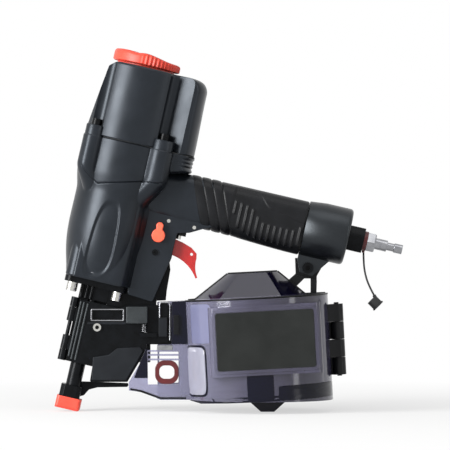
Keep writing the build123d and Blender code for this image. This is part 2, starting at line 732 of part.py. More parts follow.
stem_tip = 159.8
stem_radius = 2.0
valve_base = 163.0
valve_top = 189.0
with BuildPart() as trigger_valve:
    with BuildSketch(DRIVER.offset(168)):
        with Locations((valve_u, 0)):
            Circle(valve_radius)
    extrude(amount=valve_top - 168)
    with BuildSketch(DRIVER.offset(valve_base)):
        with Locations((valve_u, 0)):
            Circle(5)
            with PolarLocations(5, 16):
                Circle(0.5)
    extrude(amount=5)
    with BuildSketch(DRIVER.offset(valve_base)):
        with Locations((valve_u, 0)):
            Circle(stem_radius + fit)
    extrude(amount=valve_top - valve_base, mode=Mode.SUBTRACT)
    with BuildSketch(DRIVER.offset(valve_base + 8)):
        with Locations((valve_u, 0)):
            Circle(4.2)
    extrude(amount=valve_top - valve_base - 11, mode=Mode.SUBTRACT)
finish(trigger_valve, "trigger_valve")

stem_head = valve_base + 8 + gap
with BuildPart() as valve_stem:
    with BuildSketch(DRIVER.offset(stem_tip)):
        with Locations((valve_u, 0)):
            Circle(stem_radius)
    extrude(amount=stem_head + 2 - stem_tip)
    with BuildSketch(DRIVER.offset(stem_head)):
        with Locations((valve_u, 0)):
            Circle(3.8)
    extrude(amount=2)
finish(valve_stem, "valve_stem")

spring_seat = DRIVER.from_local_coords(Vector(valve_u, 0, stem_head + 2 + 0.1))
valve_spring = spring(Plane(origin=spring_seat, x_dir=DRIVER.x_dir, z_dir=DRIVER.z_dir), 2.8, 0.4,
                      valve_top - 3 - gap - stem_head - 2, 6)
finish(valve_spring, "valve_spring")

with BuildPart() as roll_pins:
    with BuildSketch(DRIVER_SIDE):
        with Locations(*roll_pins_at):
            Circle(roll_pin_radius)
    extrude(amount=bracket_width + 0.4, both=True)
finish(roll_pins, "roll_pins")

with BuildPart() as cheek_screw:
    with BuildSketch(across(-bracket_width + 5.5)):
        with Locations(cheek_screw_at):
            Circle(cheek_screw_radius)
    extrude(amount=5.9)
    with BuildSketch(across(-bracket_width)):
        with Locations(cheek_screw_at):
            Circle(cheek_screw_radius + 1)
            Circle(cheek_screw_radius - 0.4, mode=Mode.SUBTRACT)
    extrude(amount=1.4)
finish(cheek_screw, "cheek_screw")


# ---------------------------------------------------------------- nose
def from_ground(x, z):
    """Driver coordinates (u, w) of a point x behind the nose and z above the ground."""
    return (x * cos_t - z * sin_t, x * sin_t + z * cos_t)


def channel_outline(front_u):
    """Side outline that the nose door and the feed plate share, from a front edge u to the magazine."""
    return [
        (front_u, column_base + gap), (12.5, column_base + gap), from_ground(19.5, door_bottom + 1),
        from_ground(20.5, door_bottom), from_ground(50.5, door_bottom), from_ground(66.3, 51.5),
        from_ground(66.3, 55.6), from_ground(door_end, 55.6), from_ground(door_end, door_top),
        from_ground(50, door_top), from_ground(44, 85.5), (front_u, 93.2),
    ]


with BuildPart() as nose_guide:
    with BuildSketch(DRIVER.offset(flange_base)):
        RectangleRounded(52, 34, 6)
    extrude(amount=barrel_base - flange_base)
    with BuildSketch(DRIVER.offset(column_base)):
        with BuildLine():
            Polyline((-12, -nail_plane), (12, -nail_plane), (12, 11), (-12, 11), close=True)
        make_face()
    extrude(amount=flange_base - column_base)
    with BuildSketch(DRIVER.offset(nose_base)):
        Circle(nose_barrel_radius)
    extrude(amount=column_base - nose_base)
    # fixed hinge lugs of the door
    for low, high in ((column_base, lower_lug_top), (upper_lug_base, upper_lug_top)):
        with BuildSketch(DRIVER.offset(low)):
            with BuildLine():
                Polyline((door_hinge_u - door_knuckle_radius, door_hinge_y), (door_hinge_u + 3, door_hinge_y),
                         (door_hinge_u + 3, 4), (door_hinge_u - 1, 4), (door_hinge_u - door_knuckle_radius, 0),
                         close=True)
            make_face()
            with Locations((door_hinge_u, door_hinge_y)):
                Circle(door_knuckle_radius)
        extrude(amount=high - low)
        with BuildSketch(DRIVER.offset(low)):
            with Locations((door_hinge_u, door_hinge_y)):
                Circle(door_pin_radius)
        extrude(amount=high - low, mode=Mode.SUBTRACT)
    # drive channel, open towards the door, and the mouth that the nails come in through
    with BuildSketch(DRIVER.offset(nose_base - 1)):
        Circle(nose_channel)
    extrude(amount=barrel_base, mode=Mode.SUBTRACT)
    with BuildSketch(DRIVER.offset(column_base + 2)):
        with BuildLine():
            Polyline((-nose_channel, -5), (13, -5), (13, nail_plane), (0, nail_plane), (0, 0),
                     (-nose_channel, 0), close=True)
        make_face()
    extrude(amount=upper_lug_top - 1 - column_base, mode=Mode.SUBTRACT)
    with BuildSketch(DRIVER.offset(flange_base - 1)):
        with GridLocations(2 * nose_bolt_u, 2 * nose_bolt_y, 2, 2):
            Circle(bolt_radius + seat)
    extrude(amount=20, mode=Mode.SUBTRACT)
finish(nose_guide, "nose_guide")

with BuildPart() as nose_bolts:
    with BuildSketch(DRIVER.offset(flange_base)):
        with GridLocations(2 * nose_bolt_u, 2 * nose_bolt_y, 2, 2):
            Circle(4.2)
            RegularPolygon(2.3, 6, mode=Mode.SUBTRACT)
    extrude(amount=-7.5)
    with BuildSketch(DRIVER.offset(flange_base - 2)):
        with GridLocations(2 * nose_bolt_u, 2 * nose_bolt_y, 2, 2):
            Circle(bolt_radius)
    extrude(amount=11)
finish(nose_bolts, "nose_bolts")

feed_z = 48.0
with BuildPart() as feed_plate:
    with BuildSketch(across(nail_plane)):
        with BuildLine():
            Polyline(*channel_outline(12), close=True)
        make_face()
    extrude(amount=-plate_thickness)
    # flange that is screwed to the magazine's neck
    with BuildSketch(GROUND_SIDE.offset(-nail_plane)):
        with Locations(((neck_front - 1.5), 72)):
            Rectangle(3, 31)
    extrude(amount=-(neck_half_width - nail_plane))
    # slot for the feed pawl
    with BuildSketch(GROUND_SIDE.offset(-nail_plane)):
        with Locations((33.2, feed_z)):
            Rectangle(15.5, 7)
    extrude(amount=-plate_thickness, mode=Mode.SUBTRACT)
finish(feed_plate, "feed_plate")

feed_y = 16.0
feed_bore = 5.0
feed_rod_radius = 2.0
feed_cylinder_front = 43.0
feed_cylinder_length = 26.0
feed_bore_front = 46.0
feed_piston_front = 46.6
feed_piston_length = 3.2
pawl_front = 26.0
pawl_length = 6.8


def along_feed(x):
    """Section plane across the feed cylinder, its normal to the rear."""
    return Plane(origin=(nose_x + x, feed_y, feed_z), x_dir=(0, 1, 0), z_dir=(1, 0, 0))


with BuildPart() as feed_cylinder:
    with BuildSketch(along_feed(feed_cylinder_front)):
        RectangleRounded(15.6, 16, 3)
    extrude(amount=feed_cylinder_length)
    with BuildSketch(along_feed(feed_bore_front)):
        Circle(feed_bore)
    extrude(amount=20, mode=Mode.SUBTRACT)
    with BuildSketch(along_feed(feed_cylinder_front - 1)):
        Circle(feed_rod_radius + fit)
    extrude(amount=5, mode=Mode.SUBTRACT)
finish(feed_cylinder, "feed_cylinder")

with BuildPart() as feed_piston:
    with BuildSketch(along_feed(feed_piston_front)):
        Circle(feed_bore - fit)
    extrude(amount=feed_piston_length)
    with BuildSketch(along_feed(pawl_front + pawl_length)):
        Circle(feed_rod_radius)
    extrude(amount=feed_piston_front + 0.2 - pawl_front - pawl_length)
finish(feed_piston, "feed_piston")

with BuildPart() as feed_pawl:
    with BuildSketch(along_feed(pawl_front)):
        with Locations((-0.5, 0)):
            Rectangle(14, 7)
    extrude(amount=pawl_length)
    # the finger that moves the nails on
    with BuildSketch(GROUND_SIDE.offset(-feed_y)):
        with BuildLine():
            Polyline((26.4, feed_z - 2.2), (29.6, feed_z - 2.2), (29.6, feed_z + 2.2), (26.4, feed_z + 2.2),
                     close=True)
        make_face()
    extrude(amount=feed_y - 0.6)
finish(feed_pawl, "feed_pawl")

feed_spring = spring(along_feed(feed_piston_front + feed_piston_length + 0.1), 3.6, 0.4, 16, 7)
finish(feed_spring, "feed_spring")

# ---------------------------------------------------------------- nose door with its latch
door_outer = -nail_plane - gap - door_thickness
with BuildPart() as nose_door:
    with BuildSketch(across(-nail_plane - gap)):
        with BuildLine():
            Polyline(*channel_outline(door_hinge_u + 4.3), close=True)
        make_face()
    extrude(amount=door_thickness)
    # hinge knuckles
    for low, high in ((lower_lug_top + gap, lower_knuckle_top), (upper_knuckle_base, upper_lug_base - gap)):
        with BuildSketch(DRIVER.offset(low)):
            with Locations((door_hinge_u, door_hinge_y)):
                Circle(door_knuckle_radius)
            with BuildLine():
                Polyline((door_hinge_u, door_outer), (door_hinge_u + 6, door_outer),
                         (door_hinge_u + 6, -nail_plane - gap), (door_hinge_u, -nail_plane - gap), close=True)
            make_face()
        extrude(amount=high - low)
        with BuildSketch(DRIVER.offset(low)):
            with Locations((door_hinge_u, door_hinge_y)):
                Circle(door_pin_radius + fit)
        extrude(amount=high - low, mode=Mode.SUBTRACT)
    # inspection slot
    with BuildSketch(GROUND_SIDE.offset(-door_outer)):
        with Locations((34, 80)):
            Rectangle(26, 8.5)
    extrude(amount=-2.5, mode=Mode.SUBTRACT)
finish(nose_door, "nose_door")

with BuildPart() as door_hinge_pin:
    with BuildSketch(DRIVER.offset(column_base)):
        with Locations((door_hinge_u, door_hinge_y)):
            Circle(door_pin_radius)
    extrude(amount=upper_lug_top - column_base)
finish(door_hinge_pin, "door_hinge_pin")

with BuildPart() as door_guard:
    with BuildSketch(GROUND_SIDE.offset(-door_outer)):
        with BuildLine():
            Polyline((20.8, 26), (49.6, 26), (63.8, 50.2), (61, 53.5), (42, 52.5), (35, 47), (22, 45), close=True)
        make_face()
    extrude(amount=1.6)
    fillet(door_guard.faces().sort_by(Axis.Y)[0].edges(), 0.8)
finish(door_guard, "door_guard")

with BuildPart() as door_screw:
    with BuildSketch(across(door_outer)):
        with Locations((9.1, 73.7)):
            Circle(3.3)
            RegularPolygon(1.8, 6, mode=Mode.SUBTRACT)
    extrude(amount=2.4)
finish(door_screw, "door_screw")

with BuildPart() as stop_block:
    with BuildSketch(GROUND_SIDE.offset(-door_outer)):
        with Locations((58.5, 80)):
            RectangleRounded(17.8, 14, 1.2)
    extrude(amount=8)
    fillet(stop_block.faces().sort_by(Axis.Y)[0].edges(), 1)
finish(stop_block, "stop_block")

latch_arm_top = 65.0
with BuildPart() as door_latch:
    with BuildSketch(GROUND_SIDE.offset(-door_outer + gap)):
        with BuildLine():
            Polyline((76, 57.5), (84, 57.5), (84, 90.5), (76.8, 90.5), (76.8, latch_arm_top), (61.2, latch_arm_top),
                     (61.2, latch_arm_top - 3.2), (76, latch_arm_top - 3.2), close=True)
        make_face()
    extrude(amount=3)
    # thumb plate and the hook over the door's edge
    with BuildSketch(GROUND_SIDE.offset(-door_outer + gap)):
        with Locations((80, 70)):
            RectangleRounded(7.4, 16, 1.2)
    extrude(amount=6)
    with BuildSketch(GROUND_SIDE.offset(-door_outer + gap)):
        with Locations((68, latch_arm_top - 1.6)):
            Rectangle(13.6, 3.2)
    extrude(amount=5.6)
    with BuildSketch(GROUND_SIDE.offset(nail_plane + gap)):
        with Locations((80.4, 89.4)):
            Rectangle(7.2, 2.2)
    extrude(amount=door_thickness + gap + 3)
finish(door_latch, "door_latch")

spring_foot = Plane(origin=(nose_x + 64.4, door_outer - 3.4, latch_arm_top + 0.1), z_dir=(0, 0, 1))
latch_spring = spring(spring_foot, 2.2, 0.4, 73 - latch_arm_top - 0.4, 4)
finish(latch_spring, "latch_spring")

# ---------------------------------------------------------------- contact arm
strap_y = 11.5
strap_step = 73.0           # where the strap steps back, and how high the step is
strap_step_top = 83.0
riser_top = 140.0
with BuildPart() as contact_arm:
    with BuildSketch(DRIVER.offset(tip_top)):
        with BuildLine():
            Polyline((-9.3, -6.5), (-6, -9), (4.5, -9), (7.8, -6.5), (7.8, 6.5), (6, strap_y + 3),
                     (-6, strap_y + 3), (-9.3, 6.5), close=True)
        make_face()
        Circle(nose_barrel_radius + gap, mode=Mode.SUBTRACT)
    extrude(amount=foot_ring_top - tip_top)
    # strap beside the nose, stepped back behind the barrel, and the riser beside the trigger housing
    with BuildSketch(across(strap_y)):
        with BuildLine():
            Polyline((-6, tip_top + 1), (6, tip_top + 1), (6, strap_step), (48, strap_step), (48, riser_top),
                     (40, riser_top), (40, strap_step_top), (-6, strap_step_top), close=True)
        make_face()
    extrude(amount=-3)
    with BuildSketch(across(bracket_width + 0.6)):
        with BuildLine():
            Polyline((40, strap_step), (48, strap_step), (48, riser_top), (40, riser_top), close=True)
        make_face()
    extrude(amount=-3)
    with BuildSketch(across(strap_y - 1)):
        with BuildLine():
            Polyline((38, 92), (50, 92), (50, riser_top + 2), (38, riser_top + 2), close=True)
        make_face()
    extrude(amount=-(bracket_width + 0.6 - strap_y + 1), mode=Mode.SUBTRACT)
    with BuildSketch(DRIVER.offset(strap_step_top - 2)):
        with BuildLine():
            Polyline((-4, strap_y), (4, strap_y), (4, 17.4), (-4, 17.4), close=True)
        make_face()
    extrude(amount=2)
    # bar under the nose door
    with BuildSketch(GROUND_SIDE.offset(-8.5)):
        with BuildLine():
            Polyline((10, 19), (50, 19.6), (50, 22.6), (24, 22.8), (13, 22.8), close=True)
        make_face()
    extrude(amount=-3)
finish(contact_arm, "contact_arm")

with BuildPart() as no_mar_tip:
    with BuildSketch(DRIVER_SIDE):
        with BuildLine():
            Polyline((-tip_front, tip_base), (tip_rear - tip_round, tip_base))
            TangentArc((tip_rear - tip_round, tip_base), (tip_rear, tip_base + tip_round), tangent=(1, 0))
            Polyline((tip_rear, tip_base + tip_round), (tip_rear, tip_top), (-tip_front, tip_top),
                     (-tip_front, tip_base))
        make_face()
    extrude(amount=tip_rear, both=True)
    fillet(no_mar_tip.edges().filter_by(lambda edge: abs((edge % 0.5).dot(DRIVER.z_dir)) > 0.99), 3)
    with BuildSketch(DRIVER.offset(tip_base - 1)):
        Circle(nose_barrel_radius + gap)
    extrude(amount=tip_top, mode=Mode.SUBTRACT)
finish(no_mar_tip, "no_mar_tip")

contact_seat = DRIVER.from_local_coords(Vector(0, strap_y + 2.7, strap_step_top + 0.1))
contact_spring = spring(Plane(origin=contact_seat, x_dir=DRIVER.x_dir, z_dir=DRIVER.z_dir), 2.3, 0.35,
                        flange_base - strap_step_top - 0.4, 8)
finish(contact_spring, "contact_spring")

# ---------------------------------------------------------------- canister magazine
panel_fillet = 6.0
# front and rear end, half width and cut corner of the roof's hump, at its base and at its top
hump_base = (-50, 41, 31, 20)
hump_top = (-22, 19, 15, 9)


def canister_solid(inset):
    """Solid of the canister's outside, or of its inside when inset by the wall."""
    with BuildPart() as solid:
        with BuildSketch(CANISTER.offset(-10)):
            with Locations((0, canister_y)):
                Circle(canister_radius - inset)
            with BuildLine():
                Polyline((0, -neck_half_width + inset), (-115, -neck_half_width + inset),
                         (-115, neck_half_width - inset), (0, neck_half_width - inset), close=True)
            make_face()
        extrude(amount=10 + canister_height - inset)
        # raised panel on the cover
        with BuildSketch(CANISTER.offset(panel_low + inset)):
            with Locations(((panel_front + panel_rear) / 2, -panel_face / 2 + inset / 2)):
                RectangleRounded(panel_rear - panel_front - 2 * inset, panel_face - inset, panel_fillet - inset)
        extrude(amount=panel_high - panel_low - 2 * inset)
        # eight-sided hump on the roof
        with BuildSketch(CANISTER.offset(canister_height - inset)):
            octagon(*hump_base, inset)
        with BuildSketch(CANISTER.offset(canister_height - inset + hump_height)):
            octagon(*hump_top, inset)
        loft()
        with BuildSketch(GROUND_SIDE):
            with BuildLine():
                Polyline((0, canister_base + inset), (300, canister_base + inset), (300, 200), (0, 200), close=True)
            make_face()
        extrude(amount=canister_radius + 10, both=True, mode=Mode.INTERSECT)
    return solid


def octagon(front, rear, half_width, corner, inset):
    """A rectangle with its corners cut off, smaller all round by the inset."""
    front += inset
    rear -= inset
    half_width -= inset
    Polygon(
        (front, half_width - corner), (front, corner - half_width), (front + corner, -half_width),
        (rear - corner, -half_width), (rear, corner - half_width), (rear, half_width - corner),
        (rear - corner, half_width), (front + corner, half_width), align=None,
    )


canister_outside = canister_solid(0)
canister_inside = canister_solid(canister_wall)
floor_tongue = 14.0
panel_middle = (panel_front + panel_rear) / 2
FRAME_HALF = Plane(origin=(0, split_y + gap / 2, 0), z_dir=(0, 1, 0))
COVER_HALF = Plane(origin=(0, split_y - gap / 2, 0), z_dir=(0, -1, 0))

with BuildPart() as magazine_frame:
    add(canister_outside.part)
    add(canister_inside.part, mode=Mode.SUBTRACT)
    split(bisect_by=FRAME_HALF, keep=Keep.TOP)
    with BuildSketch(GROUND_SIDE):
        with BuildLine():
            Polyline((neck_front, 0), (300, 0), (300, 200), (neck_front, 200), close=True)
        make_face()
    extrude(amount=canister_radius + 10, both=True, mode=Mode.INTERSECT)
    # floor under the platform's post
    with BuildSketch(Plane(origin=ROUND_FOOT)):
        Circle(floor_tongue)
    extrude(amount=canister_wall)
    # window in the neck
    with BuildSketch(GROUND_SIDE):
        with Locations((84.5, 36)):
            Rectangle(16, 26)
    extrude(amount=-(neck_half_width + 1), mode=Mode.SUBTRACT)
finish(magazine_frame, "magazine_frame")

rail_low = 42.5
with BuildPart() as magazine_cover:
    add(canister_outside.part)
    add(canister_inside.part, mode=Mode.SUBTRACT)
    split(bisect_by=COVER_HALF, keep=Keep.TOP)
    with BuildSketch(GROUND_SIDE):
        with BuildLine():
            Polyline((51.8, 24.5), (51.8, 17.7), (62.4, 16.4), (74.3, 11.7), (80, 9), (300, 9), (300, 200),
                     (door_end + 1.2, 200), (door_end + 1.2, 51), (67.4, 51), close=True)
        make_face()
    extrude(amount=canister_radius + 10, both=True, mode=Mode.INTERSECT)
    with BuildSketch(Plane(origin=ROUND_FOOT)):
        Circle(floor_tongue + gap)
    extrude(amount=canister_wall + 1, mode=Mode.SUBTRACT)
    with BuildSketch(GROUND_SIDE):
        with Locations((80.5, 36.2)):
            Rectangle(26, 27)
        with Locations((80.5, rail_low + 0.8), (80.5, rail_low + 4.6)):
            Rectangle(26, 1.5, mode=Mode.SUBTRACT)
    extrude(amount=neck_half_width + 1, mode=Mode.SUBTRACT)
finish(magazine_cover, "magazine_cover")

with BuildPart() as window_ring:
    with BuildSketch(GROUND_SIDE.offset(neck_half_width - canister_wall)):
        with Locations((83.2, rail_low + 0.05 - 9.7)):
            RectangleRounded(19.4, 19.4, 7.5)
            RectangleRounded(12.4, 11, 4.5, mode=Mode.SUBTRACT)
    extrude(amount=canister_wall + 1)
finish(window_ring, "window_ring")

with BuildPart() as neck_block:
    with BuildSketch(GROUND_SIDE.offset(neck_half_width - 5)):
        with Locations((81.5, 53)):
            Rectangle(13, 4)
    extrude(amount=5)
finish(neck_block, "neck_block")

with BuildPart() as cover_catch:
    with BuildSketch(GROUND_SIDE.offset(neck_half_width)):
        with Locations((91, 72)):
            Rectangle(4.4, 16)
    extrude(amount=3)
finish(cover_catch, "cover_catch")

with BuildPart() as label_plate:
    with BuildSketch(CANISTER_SIDE.offset(panel_face)):
        with Locations((panel_middle, (panel_low + panel_high) / 2)):
            RectangleRounded(label_length, label_height, 2)
    extrude(amount=label_thickness)
finish(label_plate, "label_plate")

# hinge leaves: the knuckles take turns, the lowest one on the frame
knuckle_height = (knuckle_high - knuckle_low) / knuckle_count


def hinge_leaf(first, side, name):
    """Every second knuckle, from the first, with its arm to one half of the canister."""
    with BuildPart() as leaf:
        for index in range(first, knuckle_count, 2):
            with BuildSketch(CANISTER.offset(knuckle_low + index * knuckle_height)):
                with Locations((hinge_a, split_y)):
                    Circle(knuckle_radius)
                with BuildLine():
                    Polyline((hinge_a, split_y + side * gap), (hinge_a - 9, split_y + side * gap),
                             (hinge_a - 9, split_y + side * 9), (hinge_a, split_y + side * knuckle_radius), close=True)
                make_face()
                with Locations((hinge_a, split_y)):
                    Circle(hinge_pin_radius + (fit if side < 0 else 0), mode=Mode.SUBTRACT)
            extrude(amount=knuckle_height - gap)
        with BuildSketch(ROUND.offset(-10)):
            Circle(canister_radius)
        extrude(amount=10 + canister_height, mode=Mode.SUBTRACT)
    finish(leaf, name)
    return leaf


hinge_leaf(0, 1, "frame_hinge_leaf")
hinge_leaf(1, -1, "cover_hinge_leaf")

with BuildPart() as magazine_hinge_pin:
    with BuildSketch(CANISTER.offset(knuckle_low - 1)):
        with Locations((hinge_a, split_y)):
            Circle(hinge_pin_radius)
    extrude(amount=knuckle_high - knuckle_low + 2)
finish(magazine_hinge_pin, "magazine_hinge_pin")

with BuildPart() as platform_post:
    with BuildSketch(ROUND.offset(-2)):
        Circle(post_radius)
    extrude(amount=76)
    with BuildSketch(ROUND.offset(-2)):
        Circle(floor_tongue - 3)
    extrude(amount=6.5)
    with BuildSketch(GROUND_SIDE):
        with Locations((canister_x, canister_base + canister_wall - 10)):
            Rectangle(60, 20)
    extrude(amount=30, both=True, mode=Mode.SUBTRACT)
finish(platform_post, "platform_post")

platform_low = 8.0
with BuildPart() as nail_platform:
    with BuildSketch(ROUND.offset(platform_low)):
        Circle(platform_radius)
    extrude(amount=2.5)
    with BuildSketch(ROUND.offset(platform_low)):
        Circle(post_radius + 3)
    extrude(amount=45)
    with BuildSketch(ROUND.offset(platform_low)):
        Circle(post_radius + fit)
    extrude(amount=46, mode=Mode.SUBTRACT)
    with BuildSketch(ROUND.offset(platform_low)):
        with PolarLocations(30, 6):
            SlotOverall(26, 9)
    extrude(amount=3, mode=Mode.SUBTRACT)
finish(nail_platform, "nail_platform")

foot_x = 166.4
with BuildPart() as magazine_foot:
    with BuildSketch(GROUND_SIDE):
        with BuildLine():
            Polyline((foot_x - foot_bottom_length / 2, 0), (foot_x + foot_bottom_length / 2, 0),
                     (foot_x + foot_top_length / 2, canister_base - 1.5),
                     (foot_x + foot_top_length / 2, canister_base), (foot_x - foot_top_length / 2, canister_base),
                     (foot_x - foot_top_length / 2, canister_base - 1.5), close=True)
        make_face()
    extrude(amount=foot_half_width, both=True)
    # clearance under the floor of the cover
    with BuildSketch(Plane(origin=ROUND_FOOT)):
        with Locations((0, split_y + gap / 2 - canister_y - 20)):
            Rectangle(80, 40)
        Circle(floor_tongue, mode=Mode.SUBTRACT)
    extrude(amount=-0.5, mode=Mode.SUBTRACT)
finish(magazine_foot, "magazine_foot")

# ---------------------------------------------------------------- fork between end cap and magazine
with BuildPart() as magazine_bracket:
    with BuildSketch(GROUND_SIDE):
        with BuildLine():
            Polyline((181, 106), (186, 101), (191, 104), (197, 110), (202.4, 110), (202.4, 90), (207, 90),
                     (207.6, 112), (211, 118), (212.5, 127), (189.5, 127), (190, 114), close=True)
        make_face()
    extrude(amount=9, both=True)
    with BuildSketch(DRIVER_SIDE):
        with Locations((lug_u, lug_w + 6)):
            Rectangle(60, 28)
    extrude(amount=lug_half_width + seat, both=True, mode=Mode.SUBTRACT)
    add(canister_outside.part, mode=Mode.SUBTRACT)
    with BuildSketch(along_handle(handle_end - 20)):
        Circle(end_cap_radius + seat)
    extrude(amount=end_cap_length + 20, mode=Mode.SUBTRACT)
    split(bisect_by=FRAME_HALF, keep=Keep.TOP)
    with BuildSketch(DRIVER_SIDE):
        with Locations((lug_u, lug_w)):
            Circle(bracket_bolt_radius)
    extrude(amount=12, both=True, mode=Mode.SUBTRACT)
finish(magazine_bracket, "magazine_bracket")

with BuildPart() as bracket_bolt:
    with BuildSketch(across(-lug_half_width)):
        with Locations((lug_u, lug_w)):
            Circle(bracket_bolt_radius)
    extrude(amount=-(lug_half_width + 10.5))
    with BuildSketch(across(-lug_half_width)):
        with Locations((lug_u, lug_w)):
            Circle(4.6)
            RegularPolygon(2.2, 6, mode=Mode.SUBTRACT)
    extrude(amount=3.2)
finish(bracket_bolt, "bracket_bolt")
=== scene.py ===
import json
from math import pi, radians

import bmesh
import bpy
import numpy as np
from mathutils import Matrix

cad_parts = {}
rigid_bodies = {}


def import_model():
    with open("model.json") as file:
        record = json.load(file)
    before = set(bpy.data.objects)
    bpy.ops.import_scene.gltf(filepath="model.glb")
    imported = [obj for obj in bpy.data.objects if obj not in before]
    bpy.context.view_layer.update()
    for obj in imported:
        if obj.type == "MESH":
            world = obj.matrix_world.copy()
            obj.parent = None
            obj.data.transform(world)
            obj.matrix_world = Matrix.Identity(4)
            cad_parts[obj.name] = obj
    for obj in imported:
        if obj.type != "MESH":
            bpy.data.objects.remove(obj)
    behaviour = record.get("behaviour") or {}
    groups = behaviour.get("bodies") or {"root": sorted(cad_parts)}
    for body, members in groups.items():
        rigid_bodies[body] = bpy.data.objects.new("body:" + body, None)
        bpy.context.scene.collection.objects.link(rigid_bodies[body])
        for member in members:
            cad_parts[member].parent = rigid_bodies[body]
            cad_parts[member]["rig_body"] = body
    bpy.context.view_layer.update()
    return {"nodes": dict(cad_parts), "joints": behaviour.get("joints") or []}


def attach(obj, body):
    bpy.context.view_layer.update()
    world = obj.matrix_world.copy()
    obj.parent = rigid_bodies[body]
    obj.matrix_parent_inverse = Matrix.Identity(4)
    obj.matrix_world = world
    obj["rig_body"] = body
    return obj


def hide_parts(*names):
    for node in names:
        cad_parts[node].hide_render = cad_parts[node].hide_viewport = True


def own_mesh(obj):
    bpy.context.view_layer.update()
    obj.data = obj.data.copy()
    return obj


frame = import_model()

# Camera. It stands far off, level with the middle of the tool and square to the side that carries the
# nose door and the magazine cover, so that the long body shows without perspective.
camera_distance = 3.0
view_width = 0.3735
aim_x = -0.0033
aim_z = 0.1544


def new_object(name, data):
    """A new object in the scene that stands at the origin, unturned, and shows the data."""
    item = bpy.data.objects.new(name, data)
    bpy.context.scene.collection.objects.link(item)
    return item


camera_data = bpy.data.cameras.new("camera")
camera_data.sensor_width = 36.0
camera_data.lens = camera_data.sensor_width * camera_distance / view_width
camera_data.clip_end = 100.0
camera = new_object("camera", camera_data)
camera.location = (aim_x, -camera_distance, aim_z)
camera.rotation_euler = (pi / 2, 0, 0)
bpy.context.scene.camera = camera

# Tether and dust cap. A moulded rubber string hangs from the swivel seal at the air inlet and carries the
# cap that keeps dirt out of the plug. It is limp for its size, matt, and dulled by handling.
MM = 0.001
joints = {joint["name"]: joint for joint in frame["joints"]}
turn = joints["deflector_turn"]
drive_up = np.array(turn["axis"])
nose = np.array(turn["pos_m"]) - drive_up * turn["pos_m"][2] / drive_up[2]


def linear(colour):
    """An sRGB hex colour as linear red, green, blue and alpha."""
    share = np.array([int(colour[i:i + 2], 16) / 255 for i in (1, 3, 5)])
    straight = np.where(share <= 0.04045, share / 12.92, ((share + 0.055) / 1.055) ** 2.4)
    return (*straight, 1.0)


def add(tree, kind, settings=None, links=None):
    """Adds a node with its settings, which are properties or input sockets, and links its inputs."""
    node = tree.nodes.new("ShaderNode" + kind)
    for key, value in (settings or {}).items():
        if key in node.inputs:
            node.inputs[key].default_value = value
        else:
            setattr(node, key, value)
    for key, source in (links or {}).items():
        tree.links.new(source, node.inputs[key])
    return node


cloud_low = 0.3
cloud_high = 0.7
gloss_drift = 0.15


def surface(name, dark, light, roughness, grain=0.5, relief=0.03, cloud=18.0, **shader_values):
    """A material whose colour and gloss drift between two shades in soft clouds, over a fine relief.

    grain and cloud are the sizes of the relief and of the clouds in millimetres, relief is its depth.
    """
    material = bpy.data.materials.new(name)
    material.use_nodes = True
    tree = material.node_tree
    shader = tree.nodes["Principled BSDF"]
    for key, value in shader_values.items():
        shader.inputs[key.replace("_", " ")].default_value = value
    place = add(tree, "TexCoord").outputs["Object"]
    clouds = add(tree, "TexNoise", {"Scale": 1 / (cloud * MM), "Detail": 5.0, "Roughness": 0.6},
                 {"Vector": place})
    shade = add(tree, "ValToRGB", links={"Fac": clouds.outputs["Fac"]})
    shade.color_ramp.elements[0].position = cloud_low
    shade.color_ramp.elements[0].color = linear(dark)
    shade.color_ramp.elements[1].position = cloud_high
    shade.color_ramp.elements[1].color = linear(light)
    tree.links.new(shade.outputs["Color"], shader.inputs["Base Color"])
    gloss = add(tree, "MapRange", {"From Min": cloud_low, "From Max": cloud_high,
                                   "To Min": roughness * (1 - gloss_drift),
                                   "To Max": roughness * (1 + gloss_drift)}, {"Value": clouds.outputs["Fac"]})
    tree.links.new(gloss.outputs["Result"], shader.inputs["Roughness"])
    grains = add(tree, "TexNoise", {"Scale": 1 / (grain * MM), "Detail": 2.0}, {"Vector": place})
    bumps = add(tree, "Bump", {"Distance": relief * MM, "Strength": 1.0}, {"Height": grains.outputs["Fac"]})
    tree.links.new(bumps.outputs["Normal"], shader.inputs["Normal"])
    return material


def dress(finish, *nodes):
    """Gives CAD nodes that keep their own shape a finish."""
    for name in nodes:
        data = frame["nodes"][name].data
        data.materials.clear()
        data.materials.append(finish)


# matt black nitrile rubber, a little grey where it is rubbed
nitrile_rubber = surface("nitrile_rubber", "#101112", "#1a1b1c", 0.62, grain=0.4, relief=0.02)

tether_diameter = 1.6
tether_points = [(246.2, 131.5), (246.3, 122.3), (247.7, 113.0), (250.6, 104.2), (254.9, 96.2)]
route = bpy.data.curves.new("tether_cord", "CURVE")
route.dimensions = "3D"
route.bevel_depth = tether_diameter / 2 * MM
route.bevel_resolution = 5
route.use_fill_caps = True
spline = route.splines.new("NURBS")
spline.points.add(len(tether_points) - 1)
for point, (x, z) in zip(spline.points, tether_points):
    point.co = (nose[0] + x * MM, 0, z * MM, 1)
spline.order_u = 3
spline.use_endpoint_u = True
spline.resolution_u = 12
route.materials.append(nitrile_rubber)
tether = new_object("tether_cord", route)
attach(tether, "frame")
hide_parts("tether")
dress(nitrile_rubber, "dust_cap")


